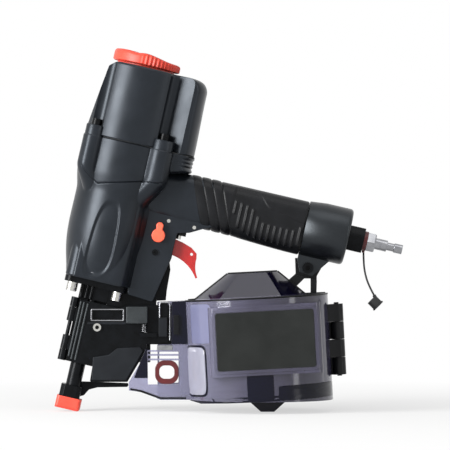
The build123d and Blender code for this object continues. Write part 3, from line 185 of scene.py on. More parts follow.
# Housing. The barrel is a magnesium die casting in a satin charcoal powder coat. Four bolt columns grow out
# of it, a lobe behind it carries the air, and a parting step runs round the shell above the waist.
def placed(origin, up):
    """A function that turns millimetres along a leaning frame into points of the row, in metres.

    Its three distances run rearwards and square to up, across the tool, and along up. They are written
    u, y, w along the driver and a, y, m along the canister.
    """
    rear = np.array([up[2], 0, -up[0]])
    across = np.array([0, 1, 0])

    def place(a, y, w):
        a, y, w = np.broadcast_arrays(a, y, w)
        return origin + MM * (a[..., None] * rear + y[..., None] * across + w[..., None] * up)
    return place


driver = placed(nose, drive_up)


def ease(value, start, end):
    """0 before start, 1 after end, and a smooth cubic step between them."""
    share = np.clip((value - start) / (end - start), 0, 1)
    return share * share * (3 - 2 * share)


def ridge(offset, width):
    """A bell of height 1 over offset 0, about twice as wide as width."""
    return np.exp(-(offset / width) ** 2)


def smooth_curve(stations, at):
    """Cubic through stations of (place, value), each with the slope of the line between its neighbours."""
    spots, values = np.array(stations, float).T
    slope = np.gradient(values, spots)
    low = np.clip(np.searchsorted(spots, at) - 1, 0, len(spots) - 2)
    high = low + 1
    span = spots[high] - spots[low]
    t = np.clip((at - spots[low]) / span, 0, 1)
    return (values[low] * (1 + 2 * t) * (1 - t) ** 2 + slope[low] * span * t * (1 - t) ** 2
            + values[high] * t * t * (3 - 2 * t) - slope[high] * span * t * t * (1 - t))


def skin(rings):
    """Closed skin over rings of points: quads between neighbouring rings and a fan over each end."""
    count, around = rings.shape[:2]
    points = np.concatenate([rings.reshape(-1, 3), rings[:1].mean(1), rings[-1:].mean(1)])
    row, column = np.meshgrid(np.arange(count - 1) * around, np.arange(around), indexing="ij")
    here = row + column
    beside = row + (column + 1) % around
    sides = np.stack([here, beside, beside + around, here + around], -1).reshape(-1, 4)
    edge = np.arange(around)
    after = (edge + 1) % around
    top = (count - 1) * around
    first = np.stack([after, edge, np.full(around, count * around)], -1)
    last = np.stack([top + edge, top + after, np.full(around, count * around + 1)], -1)
    return points, [sides, first, last]


sharp_edge = 32


def break_edges(piece, width, segments, sharp=sharp_edge):
    """Rounds a piece's sharp edges, width in mm, where two faces turn by more than sharp degrees."""
    edges = piece.modifiers.new("edges", "BEVEL")
    edges.width = width * MM
    edges.segments = segments
    edges.limit_method = "ANGLE"
    edges.angle_limit = radians(sharp)
    return edges


def build(name, skins, finish, body, *nodes, bevel=0.0, sharp=sharp_edge):
    """One piece from several closed skins, with its faces turned outwards and shaded smooth between edges.

    It stands for the CAD nodes, moves with their body, and a bevel in mm breaks its edges.
    """
    points, faces, start = [], [], 0
    for skin_points, blocks in skins:
        points.append(skin_points)
        for block in blocks:
            faces.extend((block + start).tolist())
        start += len(skin_points)
    mesh = bpy.data.meshes.new(name)
    mesh.from_pydata(np.concatenate(points).tolist(), [], faces)
    work = bmesh.new()
    work.from_mesh(mesh)
    bmesh.ops.recalc_face_normals(work, faces=work.faces)
    work.to_mesh(mesh)
    work.free()
    mesh.polygons.foreach_set("use_smooth", np.ones(len(mesh.polygons), bool))
    mesh.set_sharp_from_angle(angle=radians(sharp))
    mesh.materials.append(finish)
    piece = new_object(name, mesh)
    if bevel:
        break_edges(piece, bevel, 3, sharp)
        normals = piece.modifiers.new("normals", "WEIGHTED_NORMAL")
        normals.keep_sharp = True
    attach(piece, body)
    if nodes:
        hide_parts(*nodes)


# magnesium die casting in satin charcoal powder coat, with a fine even orange peel
powder_coat = surface("satin_powder_coat", "#101317", "#171a1f", 0.34, grain=0.7, relief=0.012,
                      Specular_IOR_Level=0.33, Specular_Tint=(0.82, 0.9, 1.0, 1.0))

barrel_base = 111.0
barrel_top = 228.0
boss_u = 28.5
boss_y = 26.0
front_boss = 8.5
rear_boss = 10.5
lobe_reach = 56.5
lobe_half_width = 27.0
around = np.linspace(0, 2 * pi, 576, endpoint=False)
ray_u = np.cos(around)
ray_y = np.sin(around)


def column_span(centre_u, centre_y, radius):
    """Where a ray from the drive axis enters and leaves a round column, and whether it meets it."""
    along = centre_u * ray_u + centre_y * ray_y
    off = centre_u * ray_y - centre_y * ray_u
    inside = radius ** 2 - off ** 2
    depth = np.sqrt(np.maximum(inside, 0))
    return along - depth, along + depth, (inside > 0) & (along > 0)


lobe_front = 20.0
lobe_corner = 6.0
softness = 22


def lobe_exit(reach, half_width):
    """Where a ray leaves a box with soft corners: the power mean of its distances to the box's walls.

    Each wall has the two shares of its direction and its distance. Two slanted walls cut the rear corners.
    """
    corner = 0.8 * reach + 0.6 * half_width - lobe_corner
    walls = [(1, 0, reach), (-1, 0, lobe_front), (0, 1, half_width), (0, -1, half_width), (0.8, 0.6, corner),
             (0.8, -0.6, corner)]
    total = sum((np.maximum(rearward * ray_u + sideways * ray_y, 0) / distance) ** softness
                for rearward, sideways, distance in walls)
    return total ** (-1 / softness)


# the grid's rows stand closer together round the parting step
fine_low = 189.0
fine_high = 202.0
fine_step = 0.35
height = np.concatenate([np.linspace(barrel_base, fine_low, 68),
                         np.arange(fine_low + fine_step, fine_high, fine_step),
                         np.linspace(fine_high + 0.3, barrel_top, 34)])[:, None]
# heights and the radius of the flanks there
side_profile = [(111, 25.2), (113.5, 26.6), (119, 28), (130, 30.8), (141, 32.8), (152, 33.7), (164, 33.9),
                (176, 33.8), (186, 34.2), (193, 35.8), (199, 36.9), (212, 37.1), (228, 37.2)]
barrel = smooth_curve(side_profile, height) + 0 * ray_u
# the bolt columns lean out from the barrel and stand upright at the top
column_foot = 0.62
near = column_foot + (1 - column_foot) * ease(height, 176, 205)
for side_u, radius in ((-boss_u, front_boss), (boss_u, rear_boss)):
    for side_y in (-boss_y, boss_y):
        enter, leave, meets = column_span(side_u * near, side_y * near, radius)
        barrel = np.where(meets, np.maximum(barrel, leave), barrel)
hidden_reach = 30.0
reach = hidden_reach + (lobe_reach - hidden_reach) * ease(height, 207, 216)
barrel = np.maximum(barrel, lobe_exit(reach, lobe_half_width))
# scoops at the lower rear of the lobe
scoop_depth = 1.1
scoops = sum(ridge(height - level, 1.1) for level in (218.5, 221.6, 224.7))
barrel -= scoop_depth * scoops * ease(ray_u, 0.78, 0.9)
# parting step: it falls from the rear to the front and turns up at its front end
seam_height = 190.2
seam_slope = 0.27
seam_upturn = 0.16
step_height = 0.5
groove_depth = 0.9
run = 36 * ray_u
seam = seam_height + seam_slope * (run + 15.8) + seam_upturn * np.maximum(0, -16 - run) ** 2
on_side = ease(np.abs(ray_y), 0.66, 0.74)
barrel += on_side * (step_height * ease(height - seam, -0.3, 0.5) - groove_depth * ridge(height - seam, 0.45))
# shallow lens-shaped recess on each flank, left bare
lens_level = 150.0
lens_middle = 147.0
lens_half_height = 32.0
lens_depth = 1.7
flank = barrel * ray_u
front_edge = -12.6 + 0.06 * (height - lens_level)
rear_edge = 8.8 - 0.045 * (height - lens_level)
lens_a = np.abs((2 * flank - front_edge - rear_edge) / (rear_edge - front_edge))
lens_b = np.abs((height - lens_middle - 0.35 * flank) / lens_half_height)
lens = (lens_a ** 3 + lens_b ** 3) ** (1 / 3)
barrel -= lens_depth * (1 - ease(lens, 0.88, 1.04)) * (np.abs(ray_y) > 0.5)
# the flank breaks into a flatter rear face behind a soft crease
crease_depth = 2.6
crease = ease(flank, 12, 30) * (1 - ease(height, 176, 192)) * ease(np.abs(ray_y), 0.2, 0.6)
barrel -= crease_depth * crease
# both end edges are rounded over
barrel -= 0.7 * ease(height, barrel_top - 0.8, barrel_top)
barrel -= 0.9 * (1 - ease(height, barrel_base, barrel_base + 1.2))
barrel_skin = skin(driver(barrel * ray_u, barrel * ray_y, height))


def round_bar(centre_u, centre_y, profile, sides=48):
    """A turned solid about a line along the drive axis: profile has (height, radius) pairs."""
    w, r = np.array(profile, float).T[..., None]
    angle = np.linspace(0, 2 * pi, sides, endpoint=False)
    return skin(driver(centre_u + r * np.cos(angle), centre_y + r * np.sin(angle), w))


# the columns end above the barrel, in round seats for the cap's bolts
bolt_seat = 236.6
boss_foot = 226.0
bosses = []
for side_u, radius in ((-boss_u, front_boss - 0.6), (boss_u, rear_boss - 1.2)):
    for side_y in (-boss_y, boss_y):
        boss_profile = [(boss_foot, radius), (bolt_seat - 1, radius), (bolt_seat - 0.3, radius - 0.3),
                        (bolt_seat, radius - 1)]
        bosses.append(round_bar(side_u, side_y, boss_profile))
build("housing", [barrel_skin, *bosses], powder_coat, "frame", "body_casting")


# Trigger housing and handle root. Both are cast in one with the barrel: two cheeks stand either side of the
# trigger's slot, and the root of the handle swells up to the height of the grip.
def rounded(corners, radius):
    """Outline with each corner cut by a parabola that touches both of its sides."""
    corners = np.array(corners, float)
    before = np.roll(corners, 1, 0) - corners
    after = np.roll(corners, -1, 0) - corners
    long_before = np.linalg.norm(before, axis=1, keepdims=True)
    long_after = np.linalg.norm(after, axis=1, keepdims=True)
    cosine = np.sum(before * after, 1, keepdims=True) / (long_before * long_after)
    half = np.arccos(np.clip(cosine, -1, 1)) / 2
    reach = np.minimum(radius / np.tan(half), 0.45 * np.minimum(long_before, long_after))
    start = corners + before / long_before * reach
    end = corners + after / long_after * reach
    t = np.linspace(0, 1, 5)[None, :, None]
    arcs = (1 - t) ** 2 * start[:, None] + 2 * t * (1 - t) * corners[:, None] + t ** 2 * end[:, None]
    return arcs.reshape(-1, 2)


def slab(outline, low, high, place=driver):
    """Straight solid between two copies of a side outline, at y = low and y = high."""
    a, w = np.array(outline, float).T
    points = np.concatenate([place(a, low, w), place(a, high, w)])
    count = len(a)
    edge = np.arange(count)
    after = (edge + 1) % count
    walls = np.stack([edge, after, after + count, edge + count], -1)
    return points, [walls, edge[None, ::-1], edge[None] + count]


cheek = 13.0
trigger_gap = 7.0
wall_behind_barrel = 26.6
foot_corners = [(wall_behind_barrel, 113), (27.5, 106), (49, 104.5)]
root_corners = [(66, 167), (76, 172.5), (88, 178), (88, 186), (wall_behind_barrel, 190)]
cheek_outline = rounded([*foot_corners, (56, 143), (56, 164.5), *root_corners], 2.2)
middle_outline = rounded([*foot_corners, (54.6, 136.5), (33.5, 136.5), (33.5, 166.4), *root_corners], 1.0)
build("trigger_housing", [slab(cheek_outline, -cheek, -trigger_gap), slab(cheek_outline, trigger_gap, cheek),
                          slab(middle_outline, -trigger_gap - 0.5, trigger_gap + 0.5)], powder_coat, "frame",
      bevel=1.4)

handle_axis = 193.0


def oval_exit(angle, half_width, half_height, power):
    """Radius of a squared oval at an angle: one over the power mean of its two shares."""
    wide = (np.abs(np.cos(angle)) / half_width) ** power
    high = (np.abs(np.sin(angle)) / half_height) ** power
    return (wide + high) ** (-1 / power)


root_axis = handle_axis + 0.6
root_front = 16
root_rear = 80
root_u = np.linspace(root_front, root_rear, 40)[:, None]
root_angle = np.linspace(0, 2 * pi, 120, endpoint=False)
root_width = smooth_curve([(root_front, 18), (40, 16.5), (62, 16.7), (root_rear, 16.4)], root_u)
root_height = smooth_curve([(root_front, 17), (34, 19.5), (48, 20.5), (62, 20.6), (root_rear, 19.8)], root_u)
root_radius = oval_exit(root_angle, root_width, root_height, 3.2)
root_w = root_axis + root_radius * np.sin(root_angle)
root_skin = skin(driver(root_u, root_radius * np.cos(root_angle), root_w))
build("handle_root", [root_skin], powder_coat, "frame")

# Cylinder cap. It closes the barrel over a gasket, in the same casting and coat. A round pillar stands
# between four channels that let a key reach the bolts, and a lobe at the rear holds the exhaust.
cap_base = 228.6
cap_top = 291.6
cap_radius = 38.3
cap_reach = 55.5
channel_radius = 6.9
cap_edge = 2.4
cap_height = np.concatenate([np.linspace(cap_base, 282, 70), np.linspace(282.4, cap_top, 42)])[:, None]


def rounding(start, radius):
    """How far the cap's edge has turned in above start: 1 - sqrt(1 - s * s), s being the share of radius."""
    return 1 - np.sqrt(1 - np.clip((cap_height - start) / radius, 0, 0.999) ** 2)


draft = 0.5
cap = cap_radius - draft * ease(cap_height, cap_base, cap_top) + 0 * ray_u
rear_draft = 1.2
rear_round = 10.4
rear_wall = cap_reach - rear_draft * ease(cap_height, cap_base, 281) - 10.5 * rounding(281.5, rear_round)
cap = np.maximum(cap, lobe_exit(rear_wall, lobe_half_width + 0.5))
# the front is cut by a plane that leans back; rays that don't look forward pass it by
front_reach = 37.2
front_lean = 7.6 / 58
forward = 0.2
front_plane = front_reach - front_lean * (cap_height - cap_base) - 4.2 * ease(cap_height, 286, cap_top)
cap = np.minimum(cap, np.where(ray_u < -forward, front_plane / np.maximum(-ray_u, forward), np.inf))
# channels over the four bolts
for side_u in (-boss_u, boss_u):
    for side_y in (-boss_y, boss_y):
        enter, leave, meets = column_span(side_u, side_y, channel_radius)
        cap = np.where(meets, np.minimum(cap, enter), cap)
cap -= cap_edge * rounding(cap_top - cap_edge, cap_edge)
cap -= 0.7 * (1 - ease(cap_height, cap_base, cap_base + 0.9))
cap_skin = skin(driver(cap * ray_u, cap * ray_y, cap_height))
build("cylinder_cap_shell", [cap_skin], powder_coat, "frame", "cylinder_cap")

# Bolts and pins that hold the castings. Those at the nose and the trigger are turned steel with a thin zinc
# plating, pressed or screwed into the castings.

# zinc-plated steel, bright, with a faint yellow cast and slightly uneven plating
zinc_steel = surface("zinc_plated_steel", "#b4b3ad", "#cfceca", 0.26, grain=0.3, relief=0.004, cloud=5.0,
                     Metallic=1.0)
dress(zinc_steel, "nose_bolts", "roll_pins", "trigger_pin", "door_screw")

# Exhaust deflector. A moulded nylon knob that turns on the cap to point the exhaust: its front half is a
# raised thumb rest, and its rear half is toothed under a lower rim.
disc_radius = 28.4
disc_base = 293.0
disc_top = 303.2
hollow_top = 299.9
hollow_size = 0.3
tooth_count = 52
tooth_height = 0.55
rim = disc_radius - 1.0 * ease(ray_u, -0.2, 0.9) + 0 * around
teeth = tooth_height * np.cos(around * tooth_count) * ease(ray_u, -0.25, 0.1)
lid_top = disc_top - 0.9 * ridge((rim * ray_u + 10) / 5, 1.0) - 3.3 * ease(ray_u, -0.1, 0.9)
# rings from the middle of the underside round to the hollow on top: share of the rim's radius, share of the
# height, and how much of the teeth shows
levels = [(0.10, 0.0, 0), (0.80, 0.0, 0), (0.955, 0.02, 0.2), (1.0, 0.12, 1.0), (1.0, 0.45, 1.0),
          (1.0, 0.7, 1.0), (0.985, 0.86, 0.7), (0.95, 0.95, 0.3), (0.88, 0.99, 0.0), (0.55, 1.0, 0),
          (0.2, 1.0, 0), (0.19, 0.75, 0), (0.05, 0.75, 0)]
rings = []
for size, rise, bite in levels:
    radius = rim * size + teeth * bite
    flat = hollow_top if size < hollow_size else lid_top
    rings.append(driver(radius * ray_u, radius * ray_y, disc_base + (flat - disc_base) * rise))
collar = round_bar(0, 0, [(292.0, 20), (292.1, 24), (293.4, 24), (293.5, 20)], 96)
# glass-filled red nylon, slightly soft in its gloss
red_nylon = surface("red_nylon", "#d8402f", "#e84c3a", 0.42, grain=0.5, relief=0.01, Specular_IOR_Level=0.4)
build("deflector_knob", [skin(np.array(rings)), collar], red_nylon, "deflector", "exhaust_deflector",
      sharp=40)


# Grip. A soft elastomer sleeve moulded over the handle: three wrapped bands at the front, a row of finger
# ribs along each side behind them, and a lower step that the ribs run down to.
grip_front = 66.0
grip_rear = 157.6
grip_half_width = 17.2
grip_high = 214.5
band_pitch = 8.3
bands = 3
bands_end = grip_front + bands * band_pitch
band_slant = 0.40
band_groove = 0.6
band_bulge = 0.35
first_rib = 98.3
rib_pitch = 5.15
rib_height = 1.2
step_depth = 0.7
grip_s = np.concatenate([np.arange(grip_front, 98, 0.35), np.arange(98, grip_rear, 0.3),
                         [grip_rear]])[:, None]
grip_angle = np.linspace(0, 2 * pi, 220, endpoint=False)
grip_low = 172.6 - 3.1 * ease(grip_s, 74, 157)
grip_mid = (grip_high + grip_low) / 2
grip_r = oval_exit(grip_angle, grip_half_width, (grip_high - grip_low) / 2, 2.9)
grip_w = grip_mid + grip_r * np.sin(grip_angle)
side = ease(np.abs(np.cos(grip_angle)), 0.25, 0.55)
# the front edge and the bands lean back towards the top, and the slant dies out behind them
grip_u = grip_s - band_slant * (grip_w - handle_axis) * (1 - ease(grip_s, 88, 112))
relief_depth = np.zeros_like(grip_w)
for groove in range(1, bands + 1):
    relief_depth -= band_groove * ridge(grip_s - (grip_front + groove * band_pitch), 0.6)
band = np.clip((grip_s - grip_front) / band_pitch, 0, bands)
relief_depth += band_bulge * np.sin(pi * (band % 1)) * (grip_s < bands_end)
# heights of each rib's top and of its lower end, from the front rib to the rear one
rib_tops = [202, 201, 200, 198, 192.6, 188.5, 188, 188, 188, 188, 188, 192]
rib_ends = [191, 180, 178, 176, 175, 174.6, 174.4, 174.2, 174, 174, 174, 176]
for k, (top, low) in enumerate(zip(rib_tops, rib_ends)):
    at_rib = ridge(grip_u - (first_rib + rib_pitch * k), 1.0)
    between = ease(grip_w, low - 1, low + 0.5) * (1 - ease(grip_w, top - 0.5, top + 1))
    relief_depth += rib_height * at_rib * between * side
# below the step the sides lie a little deeper
step_w = 212 - 10.6 * ease(grip_u, 114, 128) - 5.4 * ease(grip_u, 128, 157)
below = (1 - ease(grip_w - step_w, -0.7, 0.7)) * ease(grip_u, 94, 97) * side
relief_depth -= step_depth * below
# both ends are rounded over
relief_depth -= 0.6 * (1 - ease(grip_s, grip_front, grip_front + 0.8))
relief_depth -= 0.8 * ease(grip_s, grip_rear - 1.2, grip_rear)
grip_radius = grip_r + relief_depth
grip_skin = skin(driver(grip_u, grip_radius * np.cos(grip_angle),
                        grip_mid + grip_radius * np.sin(grip_angle)))
# matt black thermoplastic elastomer, dulled a little by hands
elastomer = surface("black_elastomer", "#0b0c0e", "#131417", 0.4, grain=0.5, relief=0.03,
                    Specular_IOR_Level=0.2)
build("handle_sleeve", [grip_skin], elastomer, "frame", "handle_grip")


# End cap and air inlet. A glass-filled nylon cap closes the handle behind a flared collar, held by screws.
# A steel plug with a red dust seal screws into a swivel bush beneath it.
driver_rear = np.array([drive_up[2], 0, -drive_up[0]])


def softened(name, finish, edge, segments=2, reshape=None, ring_at=None):
    """A CAD node's own shape with its loose triangles merged to whole faces and every sharp edge broken.

    reshape turns its corners, in metres, into slightly different ones, after a plane square to the handle,
    through the point ring_at, has cut a new ring of corners.
    """
    source = frame["nodes"][name]
    work = bmesh.new()
    work.from_mesh(source.data)
    bmesh.ops.remove_doubles(work, verts=work.verts, dist=1e-6)
    bmesh.ops.dissolve_limit(work, angle_limit=radians(0.6), verts=work.verts, edges=work.edges)
    if ring_at is not None:
        bmesh.ops.bisect_plane(work, geom=[*work.verts, *work.edges, *work.faces], plane_co=ring_at,
                               plane_no=driver_rear)
    work.verts.index_update()
    points = np.array([vert.co[:] for vert in work.verts])
    points = (reshape(points) if reshape else points).tolist()
    faces = [[vert.index for vert in face.verts] for face in work.faces]
    work.free()
    mesh = bpy.data.meshes.new(name + "_part")
    mesh.from_pydata(points, [], faces)
    mesh.polygons.foreach_set("use_smooth", np.ones(len(mesh.polygons), bool))
    mesh.set_sharp_from_angle(angle=radians(sharp_edge))
    mesh.materials.append(finish)
    piece = new_object(name + "_part", mesh)
    break_edges(piece, edge, segments).harden_normals = True
    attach(piece, source["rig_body"])
    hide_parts(name)


# black glass-filled nylon as moulded, satin, with the faint mottle of its fibres
black_nylon = surface("black_glass_nylon", "#090a0c", "#111215", 0.34, grain=0.6, relief=0.015,
                      Specular_IOR_Level=0.2)
cap_front = 158.0
flare_end = 172.0
rim_inside = 20.0
side_draw = 0.29
height_draw = 0.06


def flared(points):
    """The end cap with the upper part of its front edge drawn in towards the handle, so that it flares."""
    u = (points - nose) @ driver_rear / MM
    w = (points - nose) @ drive_up / MM
    far = np.hypot(points[:, 1] / MM, w - handle_axis)
    drawn_in = np.where((u < cap_front + 0.5) & (far > rim_inside), ease(w, 168, 180), 0.0)
    moved = points.copy()
    moved[:, 1] *= 1 - side_draw * drawn_in
    return moved - (MM * height_draw * drawn_in * (w - handle_axis))[:, None] * drive_up


# black satin enamel over the end cap, a shade glossier than the bare nylon
satin_enamel = surface("black_satin_enamel", "#08090b", "#0f1114", 0.32, grain=0.6, relief=0.012,
                       Specular_IOR_Level=0.42, Specular_Tint=(0.85, 0.93, 1.0, 1.0))
softened("end_cap", satin_enamel, 0.9, 3, flared, nose + MM * flare_end * driver_rear)
# blackened steel: machined, then hot-oxidised, so it is dark with an oily sheen
black_steel = surface("blackened_steel", "#08090a", "#121417", 0.3, grain=0.5, relief=0.012, cloud=9.0,
                      Metallic=0.3, Specular_IOR_Level=0.13)
softened("air_bush", black_steel, 0.4)
dress(black_steel, "end_cap_bolts", "deflector_bolt", "bracket_bolt", "cap_bolts", "cheek_screw",
      "door_hinge_pin", "magazine_hinge_pin")
# nickel-plated steel, turned and bright, with a very fine grain
nickel_steel = surface("nickel_plated_steel", "#85868a", "#a3a4a7", 0.24, grain=0.25, relief=0.006, cloud=6.0,
                       Metallic=1.0)
softened("air_plug", nickel_steel, 0.25)
# dark red silicone rubber, moulded smooth, with a soft gloss
red_silicone = surface("red_silicone", "#470c10", "#5d1216", 0.36, grain=0.4, relief=0.01)
softened("swivel_seal", red_silicone, 0.3)


# Trigger, its valve and the mode selector. The trigger is a die casting in gloss red, the selector beside it
# is a moulded knob that locks the trigger's pin in one of two places.

# die-cast trigger in gloss red enamel
red_enamel = surface("red_enamel", "#9f1012", "#b51816", 0.3, grain=0.9, relief=0.01, Coat_Weight=0.3,
                     Coat_Roughness=0.15)
softened("trigger", red_enamel, 1.1, 3)
# orange-red acetal, moulded
orange_acetal = surface("orange_acetal", "#f4593d", "#ff6d50", 0.36, grain=0.5, relief=0.01)
softened("selector_lever", orange_acetal, 0.4)
softened("trigger_valve", black_nylon, 0.3)
dress(zinc_steel, "valve_stem")


# Works inside the barrel: a turned aluminium sleeve and piston with a hardened driver blade, a rubber bumper,
# and the head valve with its springs of drawn wire. They show only when the tool is taken apart.

# hard-anodised aluminium, grey and faintly clouded
grey_anodised = surface("hard_anodised_aluminium", "#6d6f72", "#7f8184", 0.32, grain=0.3, relief=0.005,
                        Metallic=1.0)
# drawn music wire
music_wire = surface("spring_wire", "#77787b", "#8d8e90", 0.25, grain=0.2, relief=0.003, Metallic=1.0)
dress(grey_anodised, "cylinder_sleeve", "piston")
dress(black_steel, "driver_blade", "feed_piston", "feed_pawl")
dress(nitrile_rubber, "cap_gasket", "bumper", "piston_ring")
dress(black_nylon, "head_valve")
for spring, joint_name in (("head_valve_spring", "head_valve_lift"), ("valve_spring", "valve_stem_lift"),
                           ("feed_spring", "feed_slide"), ("contact_spring", "contact_slide"),
                           ("latch_spring", "door_latch_slide")):
    node = frame["nodes"][spring]
    coil = new_object(spring + "_coil", node.data.copy())
    coil.data.materials.clear()
    coil.data.materials.append(music_wire)
    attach(coil, node["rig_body"])
    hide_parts(spring)
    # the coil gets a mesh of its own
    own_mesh(coil)

# Nose. The nail runs in a cast steel guide; a feed plate behind it carries the air cylinder that pushes the
# coil, and a door in front of it opens for clearing jams. The guard on the door is bent sheet.
softened("nose_guide", black_steel, 0.7)
softened("feed_plate", black_steel, 0.5)
softened("nose_door", black_steel, 0.6)
flute_y = -4.6
flute_profile = [(94.5, 0.5), (95, 1.5), (105.4, 1.5), (105.8, 0.5)]
flutes = [round_bar(u, flute_y, flute_profile, 16) for u in (-10, -6, -2)]
build("nose_flutes", flutes, black_steel, "frame")
# grey zinc casting, bead-blasted
blasted_zinc = surface("blasted_zinc_casting", "#2c3032", "#373b3d", 0.42, grain=0.35, relief=0.02, cloud=6.0,
                       Metallic=0.35, Specular_IOR_Level=0.3)
# rails along the door's hinge edge
rail_y = -9.1
rail_radius = 0.9
rails = []
for u, low, high in ((-8.6, 45, 92), (-5.9, 43, 92), (-2.6, 43, 91.5)):
    rail_profile = [(low, 0.3), (low + 0.5, rail_radius), (high - 0.5, rail_radius), (high, 0.3)]
    rails.append(round_bar(u, rail_y, rail_profile, 16))
build("door_rails", rails, blasted_zinc, "door")
softened("feed_cylinder", blasted_zinc, 0.6)
softened("stop_block", blasted_zinc, 0.7)
# dark grey phosphate-coated sheet steel, dead flat in its sheen
phosphate_sheet = surface("phosphated_sheet_steel", "#15171b", "#1d2024", 0.45, grain=0.5, relief=0.012,
                          Metallic=0.2, Specular_IOR_Level=0.2)
softened("door_guard", phosphate_sheet, 0.3)
softened("door_latch", black_steel, 0.5)


def ground(x, y, z):
    """Points of the row from distances behind the nose, across the tool and above the ground, in mm."""
    x, y, z = np.broadcast_arrays(x, y, z)
    return np.stack([nose[0] + MM * x, MM * y, MM * z], -1)


# gusset plate between the nose flange and the magazine
gusset = rounded([(33, 101), (46, 103), (69, 103), (74.9, 117), (80, 124), (85.2, 124.5), (86.0, 117.4),
                  (83, 100), (82.2, 91.9), (74.5, 91.6), (74.2, 86.8), (49, 85), (33, 85)], 0.7)
gusset_near = -3.2
gusset_far = -1.2
build("nose_gusset", [slab(gusset, gusset_near, gusset_far, ground)], black_steel, "frame", bevel=0.4)

# Contact trip. A steel arm slides along the nose, stiffened by a web, and has to be pressed on the work
# before the tool can fire. A soft urethane tip on its end keeps the work from being marked.
softened("contact_arm", black_steel, 0.6)
web = rounded([(8.5, 24.3), (20, 24.0), (50.8, 22.8), (50.8, 20.0), (25, 19.2), (18, 17.4), (13.8, 12.6),
               (8.5, 11.4)], 1.0)
web_near = 8.2
web_far = 11.8
build("contact_web", [slab(web, web_near, web_far, ground)], black_steel, "contact", bevel=0.4)
# bright red urethane, moulded, matt
red_urethane = surface("red_urethane", "#e04432", "#ee5340", 0.45, grain=0.5, relief=0.02)
softened("no_mar_tip", red_urethane, 0.8, 3)


# Magazine. Two half shells of smoke-tinted polycarbonate hold the nail coil: the rear half is fixed and the
# front half swings open on a long hinge. Light passes through the walls, and the moulded faces are glossy.
def clear(name, colour, roughness, transmission, **shader_values):
    """See-through moulding: a tinted dielectric with a soft gloss that drifts a little across the faces."""
    return surface(name, colour, colour, roughness, grain=8.0, relief=0.003, cloud=30.0, IOR=1.585,
                   Transmission_Weight=transmission, **shader_values)


# the hinge stands this far behind and above the point that the canister's sizes are measured from
hinge_reach = 66.5
hinge_foot = 17.0
cover_swing = joints["magazine_cover_swing"]
canister_up = np.array(cover_swing["axis"])
hinge = np.array(cover_swing["pos_m"])
canister_rear = np.array([canister_up[2], 0, -canister_up[0]])
foot_point = hinge * [1, 0, 1] - MM * (hinge_reach * canister_rear + hinge_foot * canister_up)
canister = placed(foot_point, canister_up)
# polycarbonate tinted smoky violet, with painted light in its colour: pale towards the neck, where light
# shows through the walls, and deeper towards the hinge; above the roof it turns a darker violet and less
# glossy
smoke_polycarbonate = clear("smoke_polycarbonate", "#6b6896", 0.1, 0.62)
painted_light_start = -0.05
painted_light_end = 0.02
roof_height = 85.4
smoke = smoke_polycarbonate.node_tree
point_here = add(smoke, "TexCoord").outputs["Object"]
along_x = add(smoke, "SeparateXYZ", links={0: point_here})
up_canister = add(smoke, "VectorMath", {"operation": "DOT_PRODUCT"}, {0: point_here})
up_canister.inputs[1].default_value = canister_up
# painted light: the colour runs from pale at the neck, where light shows through the walls, to deeper towards
# the hinge
painted_light_share = add(smoke, "MapRange", {"From Min": painted_light_start, "From Max": painted_light_end},
                {"Value": along_x.outputs["X"]})
painted_light_ramp = add(smoke, "ValToRGB", links={"Fac": painted_light_share.outputs["Result"]})
painted_light_ramp.color_ramp.elements[0].color = linear("#a3a2bd")
painted_light_ramp.color_ramp.elements[1].color = linear("#55526c")
roof_level = float(foot_point @ canister_up) + MM * roof_height
above_roof = add(smoke, "MapRange", {"From Min": roof_level, "From Max": roof_level + 0.5 * MM},
                 {"Value": up_canister.outputs["Value"]})
roof_and_painted_light = add(smoke, "Mix", {"data_type": "RGBA", "B": linear("#1c1936")},
                {"Factor": above_roof.outputs["Result"], "A": painted_light_ramp.outputs["Color"]})
smoke.links.new(roof_and_painted_light.outputs[2], smoke.nodes["Principled BSDF"].inputs["Base Color"])
roof_gloss = add(smoke, "MapRange", {"To Min": 0.4, "To Max": 0.08}, {"Value": above_roof.outputs["Result"]})
smoke.links.new(roof_gloss.outputs["Result"], smoke.nodes["Principled BSDF"].inputs["Specular IOR Level"])
softened("magazine_frame", smoke_polycarbonate, 0.9, 3)
softened("magazine_cover", smoke_polycarbonate, 0.9, 3)


def frame_loop(name, outer, inner, low, high, finish, edge, place=canister, body="cover"):
    """A flat ring between two like outlines, standing from y = low out to y = high."""
    outer, inner = np.array(outer), np.array(inner)
    count = len(outer)
    rows = np.stack([outer, outer, inner, inner])
    depth = np.array([high, low, low, high])[:, None]
    points = place(rows[..., 0], depth, rows[..., 1]).reshape(-1, 3)
    row = np.arange(4)[:, None] * count
    after_row = (np.arange(4)[:, None] + 1) % 4 * count
    here = np.arange(count)[None]
    after = (here + 1) % count
    faces = np.stack([row + here, row + after, after_row + after, after_row + here], -1).reshape(-1, 4)
    build(name, [(points, [faces])], finish, body, bevel=edge)


# raised rim round the label, blank like the film inside it
panel_middle_a = 6.0
panel_middle_m = 50.5


def box_corners(a_half, m_half):
    """Corners of an upright rectangle about the middle of the label panel."""
    return [(panel_middle_a + a * a_half, panel_middle_m + m * m_half)
            for a, m in ((-1, -1), (1, -1), (1, 1), (-1, 1))]


rim_back = -60.45
rim_face = -61.2
frame_loop("label_rim", rounded(box_corners(43.2, 26.2), 5), rounded(box_corners(40.4, 23.9), 2.5), rim_back,
           rim_face, smoke_polycarbonate, 0.25)
# printed polyester film, dark grey and blank
label_film = surface("grey_label_film", "#1b1d1c", "#232524", 0.36, grain=0.4, relief=0.004,
                     Specular_IOR_Level=0.2)
softened("label_plate", label_film, 0.15)

# panes and skirts stand on the round wall of the front half
canister_y = 1.3
canister_radius = 60.0
wall_back = 59.6


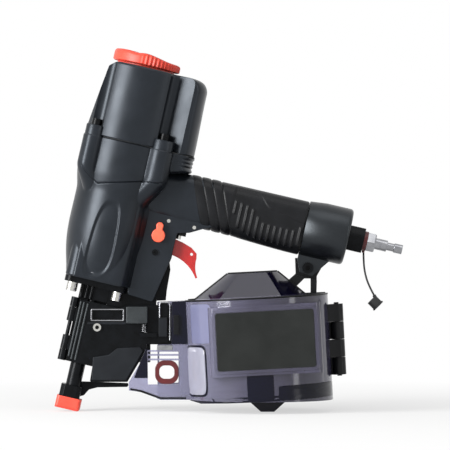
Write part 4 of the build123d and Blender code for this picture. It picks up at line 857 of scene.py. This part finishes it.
def wall_patch(name, bearing, level, thick, squareness, finish):
    """A panel bent round the canister: a squared oval in its angle and height, carried between two radii.

    bearing gives its two ends in degrees, counted from the nose towards the hinge past the label, and level
    gives its lower and upper edge. The inner radius is wall_back, and the outer one is thick mm more.
    """
    start, end = radians(bearing[0] - 180), radians(bearing[1] - 180)
    low, high = level
    turn_angle = np.linspace(0, 2 * pi, 160, endpoint=False)
    ray = oval_exit(turn_angle, canister_radius * (end - start) / 2, (high - low) / 2, squareness)
    # rings go out over the outer face, round the edge and back in over the inner face
    spread = np.array([0.0001, 0.25, 0.5, 0.75, 0.96, 1.0, 1.0, 0.96, 0.75, 0.5, 0.25, 0.0001])[:, None]
    out = wall_back + thick * np.array([1, 1, 1, 1, 1, 0.6, 0, 0, 0, 0, 0, 0])[:, None]
    angle = (start + end) / 2 + spread * ray * np.cos(turn_angle) / canister_radius
    m = (low + high) / 2 + spread * ray * np.sin(turn_angle)
    build(name, [skin(canister(out * np.cos(angle), canister_y + out * np.sin(angle), m))], finish, "cover")


# window of nearly colourless polycarbonate
clear_polycarbonate = clear("clear_polycarbonate", "#c2c2d4", 0.1, 0.5)
wall_patch("coil_window", (13.2, 42.5), (7.5, 46.5), 1.0, 7, clear_polycarbonate)
# the pane above it, in a stronger lilac
lilac_polycarbonate = clear("lilac_polycarbonate", "#9294b8", 0.1, 0.5)
wall_patch("upper_window", (24, 51), (49.5, 82), 0.5, 9, lilac_polycarbonate)
# darker polycarbonate: the edge of the window, the skirts round the base, which stand partly for the
# canister's dark base and partly for painted shade along its bottom, and the strap above the foot
dark_polycarbonate = clear("dark_polycarbonate", "#0a0b1c", 0.16, 0.1, Specular_IOR_Level=0.12)
wall_patch("window_edge", (11.6, 44.4), (5.6, 48.4), 0.6, 7, dark_polycarbonate)
# the two skirts are dark bands along the bottom of the canister: partly its dark base, partly painted shade
wall_patch("base_skirt_painted_shade", (9, 172), (0.2, 4.8), 0.5, 30, dark_polycarbonate)
wall_patch("rear_skirt_painted_shade", (104, 172), (0.3, 12.5), 0.7, 24, dark_polycarbonate)
wall_patch("cover_strap", (79.5, 100.5), (0.5, 26), 0.7, 14, dark_polycarbonate)
softened("window_ring", red_silicone, 0.5, 3)

# dark panels let into the neck that leads the nails to the nose
panel_back = -13.9
neck_outline = rounded([(87.2, 56), (105.2, 56), (105.2, 92.0), (87.2, 91.2)], 1.2)
build("neck_panel", [slab(neck_outline, -14.7, panel_back, ground)], dark_polycarbonate, "cover", bevel=0.2)
throat = rounded([(66.6, 54.4), (67.6, 28.0), (55.9, 28.0)], 0.8)
build("throat_panel", [slab(throat, -14.5, panel_back, ground)], dark_polycarbonate, "cover", bevel=0.2)


def cord_tube(line, radius):
    """A closed tube of one radius round a line of points: rings square to the line's direction."""
    line = np.array(line)
    way = np.gradient(line, axis=0)
    way /= np.linalg.norm(way, axis=1, keepdims=True)
    first = np.cross(way, [0.13, 0.97, 0.21])
    first /= np.linalg.norm(first, axis=1, keepdims=True)
    second = np.cross(way, first)
    turn_angle = np.linspace(0, 2 * pi, 12, endpoint=False)[None, :, None]
    ring = np.cos(turn_angle) * first[:, None] + np.sin(turn_angle) * second[:, None]
    return skin(line[:, None] + MM * radius * ring)


# dark bead round the edge of the cover's roof, rib along the parting of the two halves, and the neck's sill
bead_angle = np.linspace(-pi + radians(14), -radians(6), 90)
bead_reach = canister_radius * 0.994
bead_height = 84.7
bead = canister(bead_reach * np.cos(bead_angle), canister_y + bead_reach * np.sin(bead_angle), bead_height)
rib_y = -2.8
rib_line = [(-56, 84.9), (-50, 85.1), (-22, 105.0), (19, 105.0), (41, 85.1), (58, 84.9)]
ribs = []
for (a0, m0), (a1, m1) in zip(rib_line, rib_line[1:]):
    share = np.linspace(0, 1, 3)
    ribs.append(cord_tube(canister(a0 + (a1 - a0) * share, rib_y, m0 + (m1 - m0) * share), 1.2))
sill_y = -13.2
sill = ground(np.array([53.0, 62.2, 77.9, 99.0]), sill_y, np.array([18.9, 17.2, 11.4, 11.4]))
build("parting_seal", [cord_tube(bead, 0.8), *ribs, cord_tube(sill, 1.1)], black_nylon, "cover")

# Fittings on the nose door, screwed or clipped on last: a bright rim round its inspection slot over a ledge
# of bent sheet, and a sheet pad and a plated wire bail on its latch.
door_face = -8.9
slot_outer = rounded([(20.2, 75.0), (47.8, 75.0), (47.8, 85.0), (20.2, 85.0)], 0.8)
slot_inner = rounded([(21.2, 75.9), (46.8, 75.9), (46.8, 84.1), (21.2, 84.1)], 0.5)
frame_loop("slot_rim", slot_outer, slot_inner, door_face, -9.7, nickel_steel, 0.15, ground, "door")
ledge = rounded([(17.6, 72.2), (49.6, 72.2), (49.6, 74.2), (17.6, 74.2)], 0.5)
build("slot_ledge", [slab(ledge, -10.0, door_face, ground)], phosphate_sheet, "door", bevel=0.2)
pad = rounded([(76.6, 62.2), (83.4, 62.2), (83.4, 77.8), (76.6, 77.8)], 0.9)
pad_near = -15.9
pad_far = -15.2
build("latch_pad", [slab(pad, pad_near, pad_far, ground)], phosphate_sheet, "latch", bevel=0.25)
bail_y = -13.4
bail = ground(np.array([77.3, 77.3, 77.6, 78.4, 84.6, 85.4, 85.7, 85.7]), bail_y,
              np.array([77.6, 89.0, 90.0, 90.5, 90.5, 90.0, 89.0, 59.0]))
build("latch_bail", [cord_tube(bail, 0.7)], nickel_steel, "latch")

# Magazine fittings. The hinge leaves, the catch, the nail platform on its post and the forked bracket are
# moulded in black nylon. The neck block is plated steel, and the foot is of the shells' dark polycarbonate.
softened("neck_block", nickel_steel, 0.3)
softened("cover_catch", black_nylon, 0.2)
softened("cover_hinge_leaf", black_nylon, 0.5)
softened("frame_hinge_leaf", black_nylon, 0.5)
softened("platform_post", black_nylon, 0.3)
softened("nail_platform", black_nylon, 0.5)
softened("magazine_foot", dark_polycarbonate, 0.7)
softened("magazine_bracket", black_nylon, 0.6)

# Ground and light: a plain pale floor, a tall softbox at the left of the camera for the long highlight on the
# cylinder cap, a weaker strip at the right, a faint lamp from above, and an even white surround.
floor_half = 6
floor_mesh = bpy.data.meshes.new("floor")
floor_corners = [(x * floor_half, y * floor_half, 0) for x, y in ((-1, -1), (1, -1), (1, 1), (-1, 1))]
floor_mesh.from_pydata(floor_corners, [], [(0, 1, 2, 3)])
floor = new_object("floor", floor_mesh)
floor_paint = bpy.data.materials.new("matt_white_floor")
floor_paint.use_nodes = True
paint = floor_paint.node_tree
paint.nodes["Principled BSDF"].inputs["Base Color"].default_value = linear("#f4f4f3")
paint.nodes["Principled BSDF"].inputs["Roughness"].default_value = 0.9
# away from the tool the floor goes over into the white of the surround
from_tool = add(paint, "VectorMath", {"operation": "LENGTH"}, {0: add(paint, "TexCoord").outputs["Object"]})
far_off = add(paint, "MapRange", {"From Min": 0.1, "From Max": 0.6, "To Min": 0.6, "To Max": 1.0},
              {"Value": from_tool.outputs["Value"]})


def sharply_seen(tree):
    """1 for rays from the camera, through clear plastic or off a gloss, and 0 for those of soft light."""
    path = add(tree, "LightPath")
    seen = add(tree, "Math", {"operation": "MAXIMUM"},
               {0: path.outputs["Is Camera Ray"], 1: path.outputs["Is Transmission Ray"]})
    either = add(tree, "Math", {"operation": "MAXIMUM"},
                 {0: seen.outputs[0], 1: path.outputs["Is Glossy Ray"]})
    return either.outputs[0]


share_white = add(paint, "Math", {"operation": "MULTIPLY"},
                  {0: far_off.outputs["Result"], 1: sharply_seen(paint)})
white = add(paint, "Emission", {"Strength": 1.0})
floor_mix = add(paint, "MixShader", links={0: share_white.outputs[0],
                                           1: paint.nodes["Principled BSDF"].outputs[0],
                                           2: white.outputs[0]})
paint.links.new(floor_mix.outputs[0], paint.nodes["Material Output"].inputs["Surface"])
floor_mesh.materials.append(floor_paint)

world = bpy.data.worlds.new("studio")
bpy.context.scene.world = world
world.use_nodes = True
sky = world.node_tree
background = sky.nodes["Background"]
background.inputs["Color"].default_value = (1, 1, 1, 1)
soft_strength = 0.28
strength = add(sky, "MapRange", {"To Min": soft_strength, "To Max": 1.0}, {"Value": sharply_seen(sky)})
sky.links.new(strength.outputs["Result"], background.inputs["Strength"])


def softbox(name, place, size, power):
    """A rectangular lamp aimed at the middle of the tool, placed and sized in metres, its power in watts."""
    lamp = bpy.data.lights.new(name, "AREA")
    lamp.shape = "RECTANGLE"
    lamp.size, lamp.size_y = size
    lamp.energy = power
    holder = new_object(name, lamp)
    holder.location = place
    away = np.array(place) - (0, 0, aim_z)
    holder.rotation_euler = (pi / 2 - np.arctan2(away[2], np.hypot(away[0], away[1])), 0,
                             np.arctan2(away[0], -away[1]))


softbox("key_softbox", (-1.3, -1.0, 0.5), (0.72, 1.3), 52)
softbox("fill_strip", (1.5, -0.9, 0.5), (0.3, 1.2), 3.5)
softbox("top_light", (0.1, -0.6, 1.6), (1.2, 0.8), 5)
bpy.context.scene.view_settings.view_transform = "Standard"
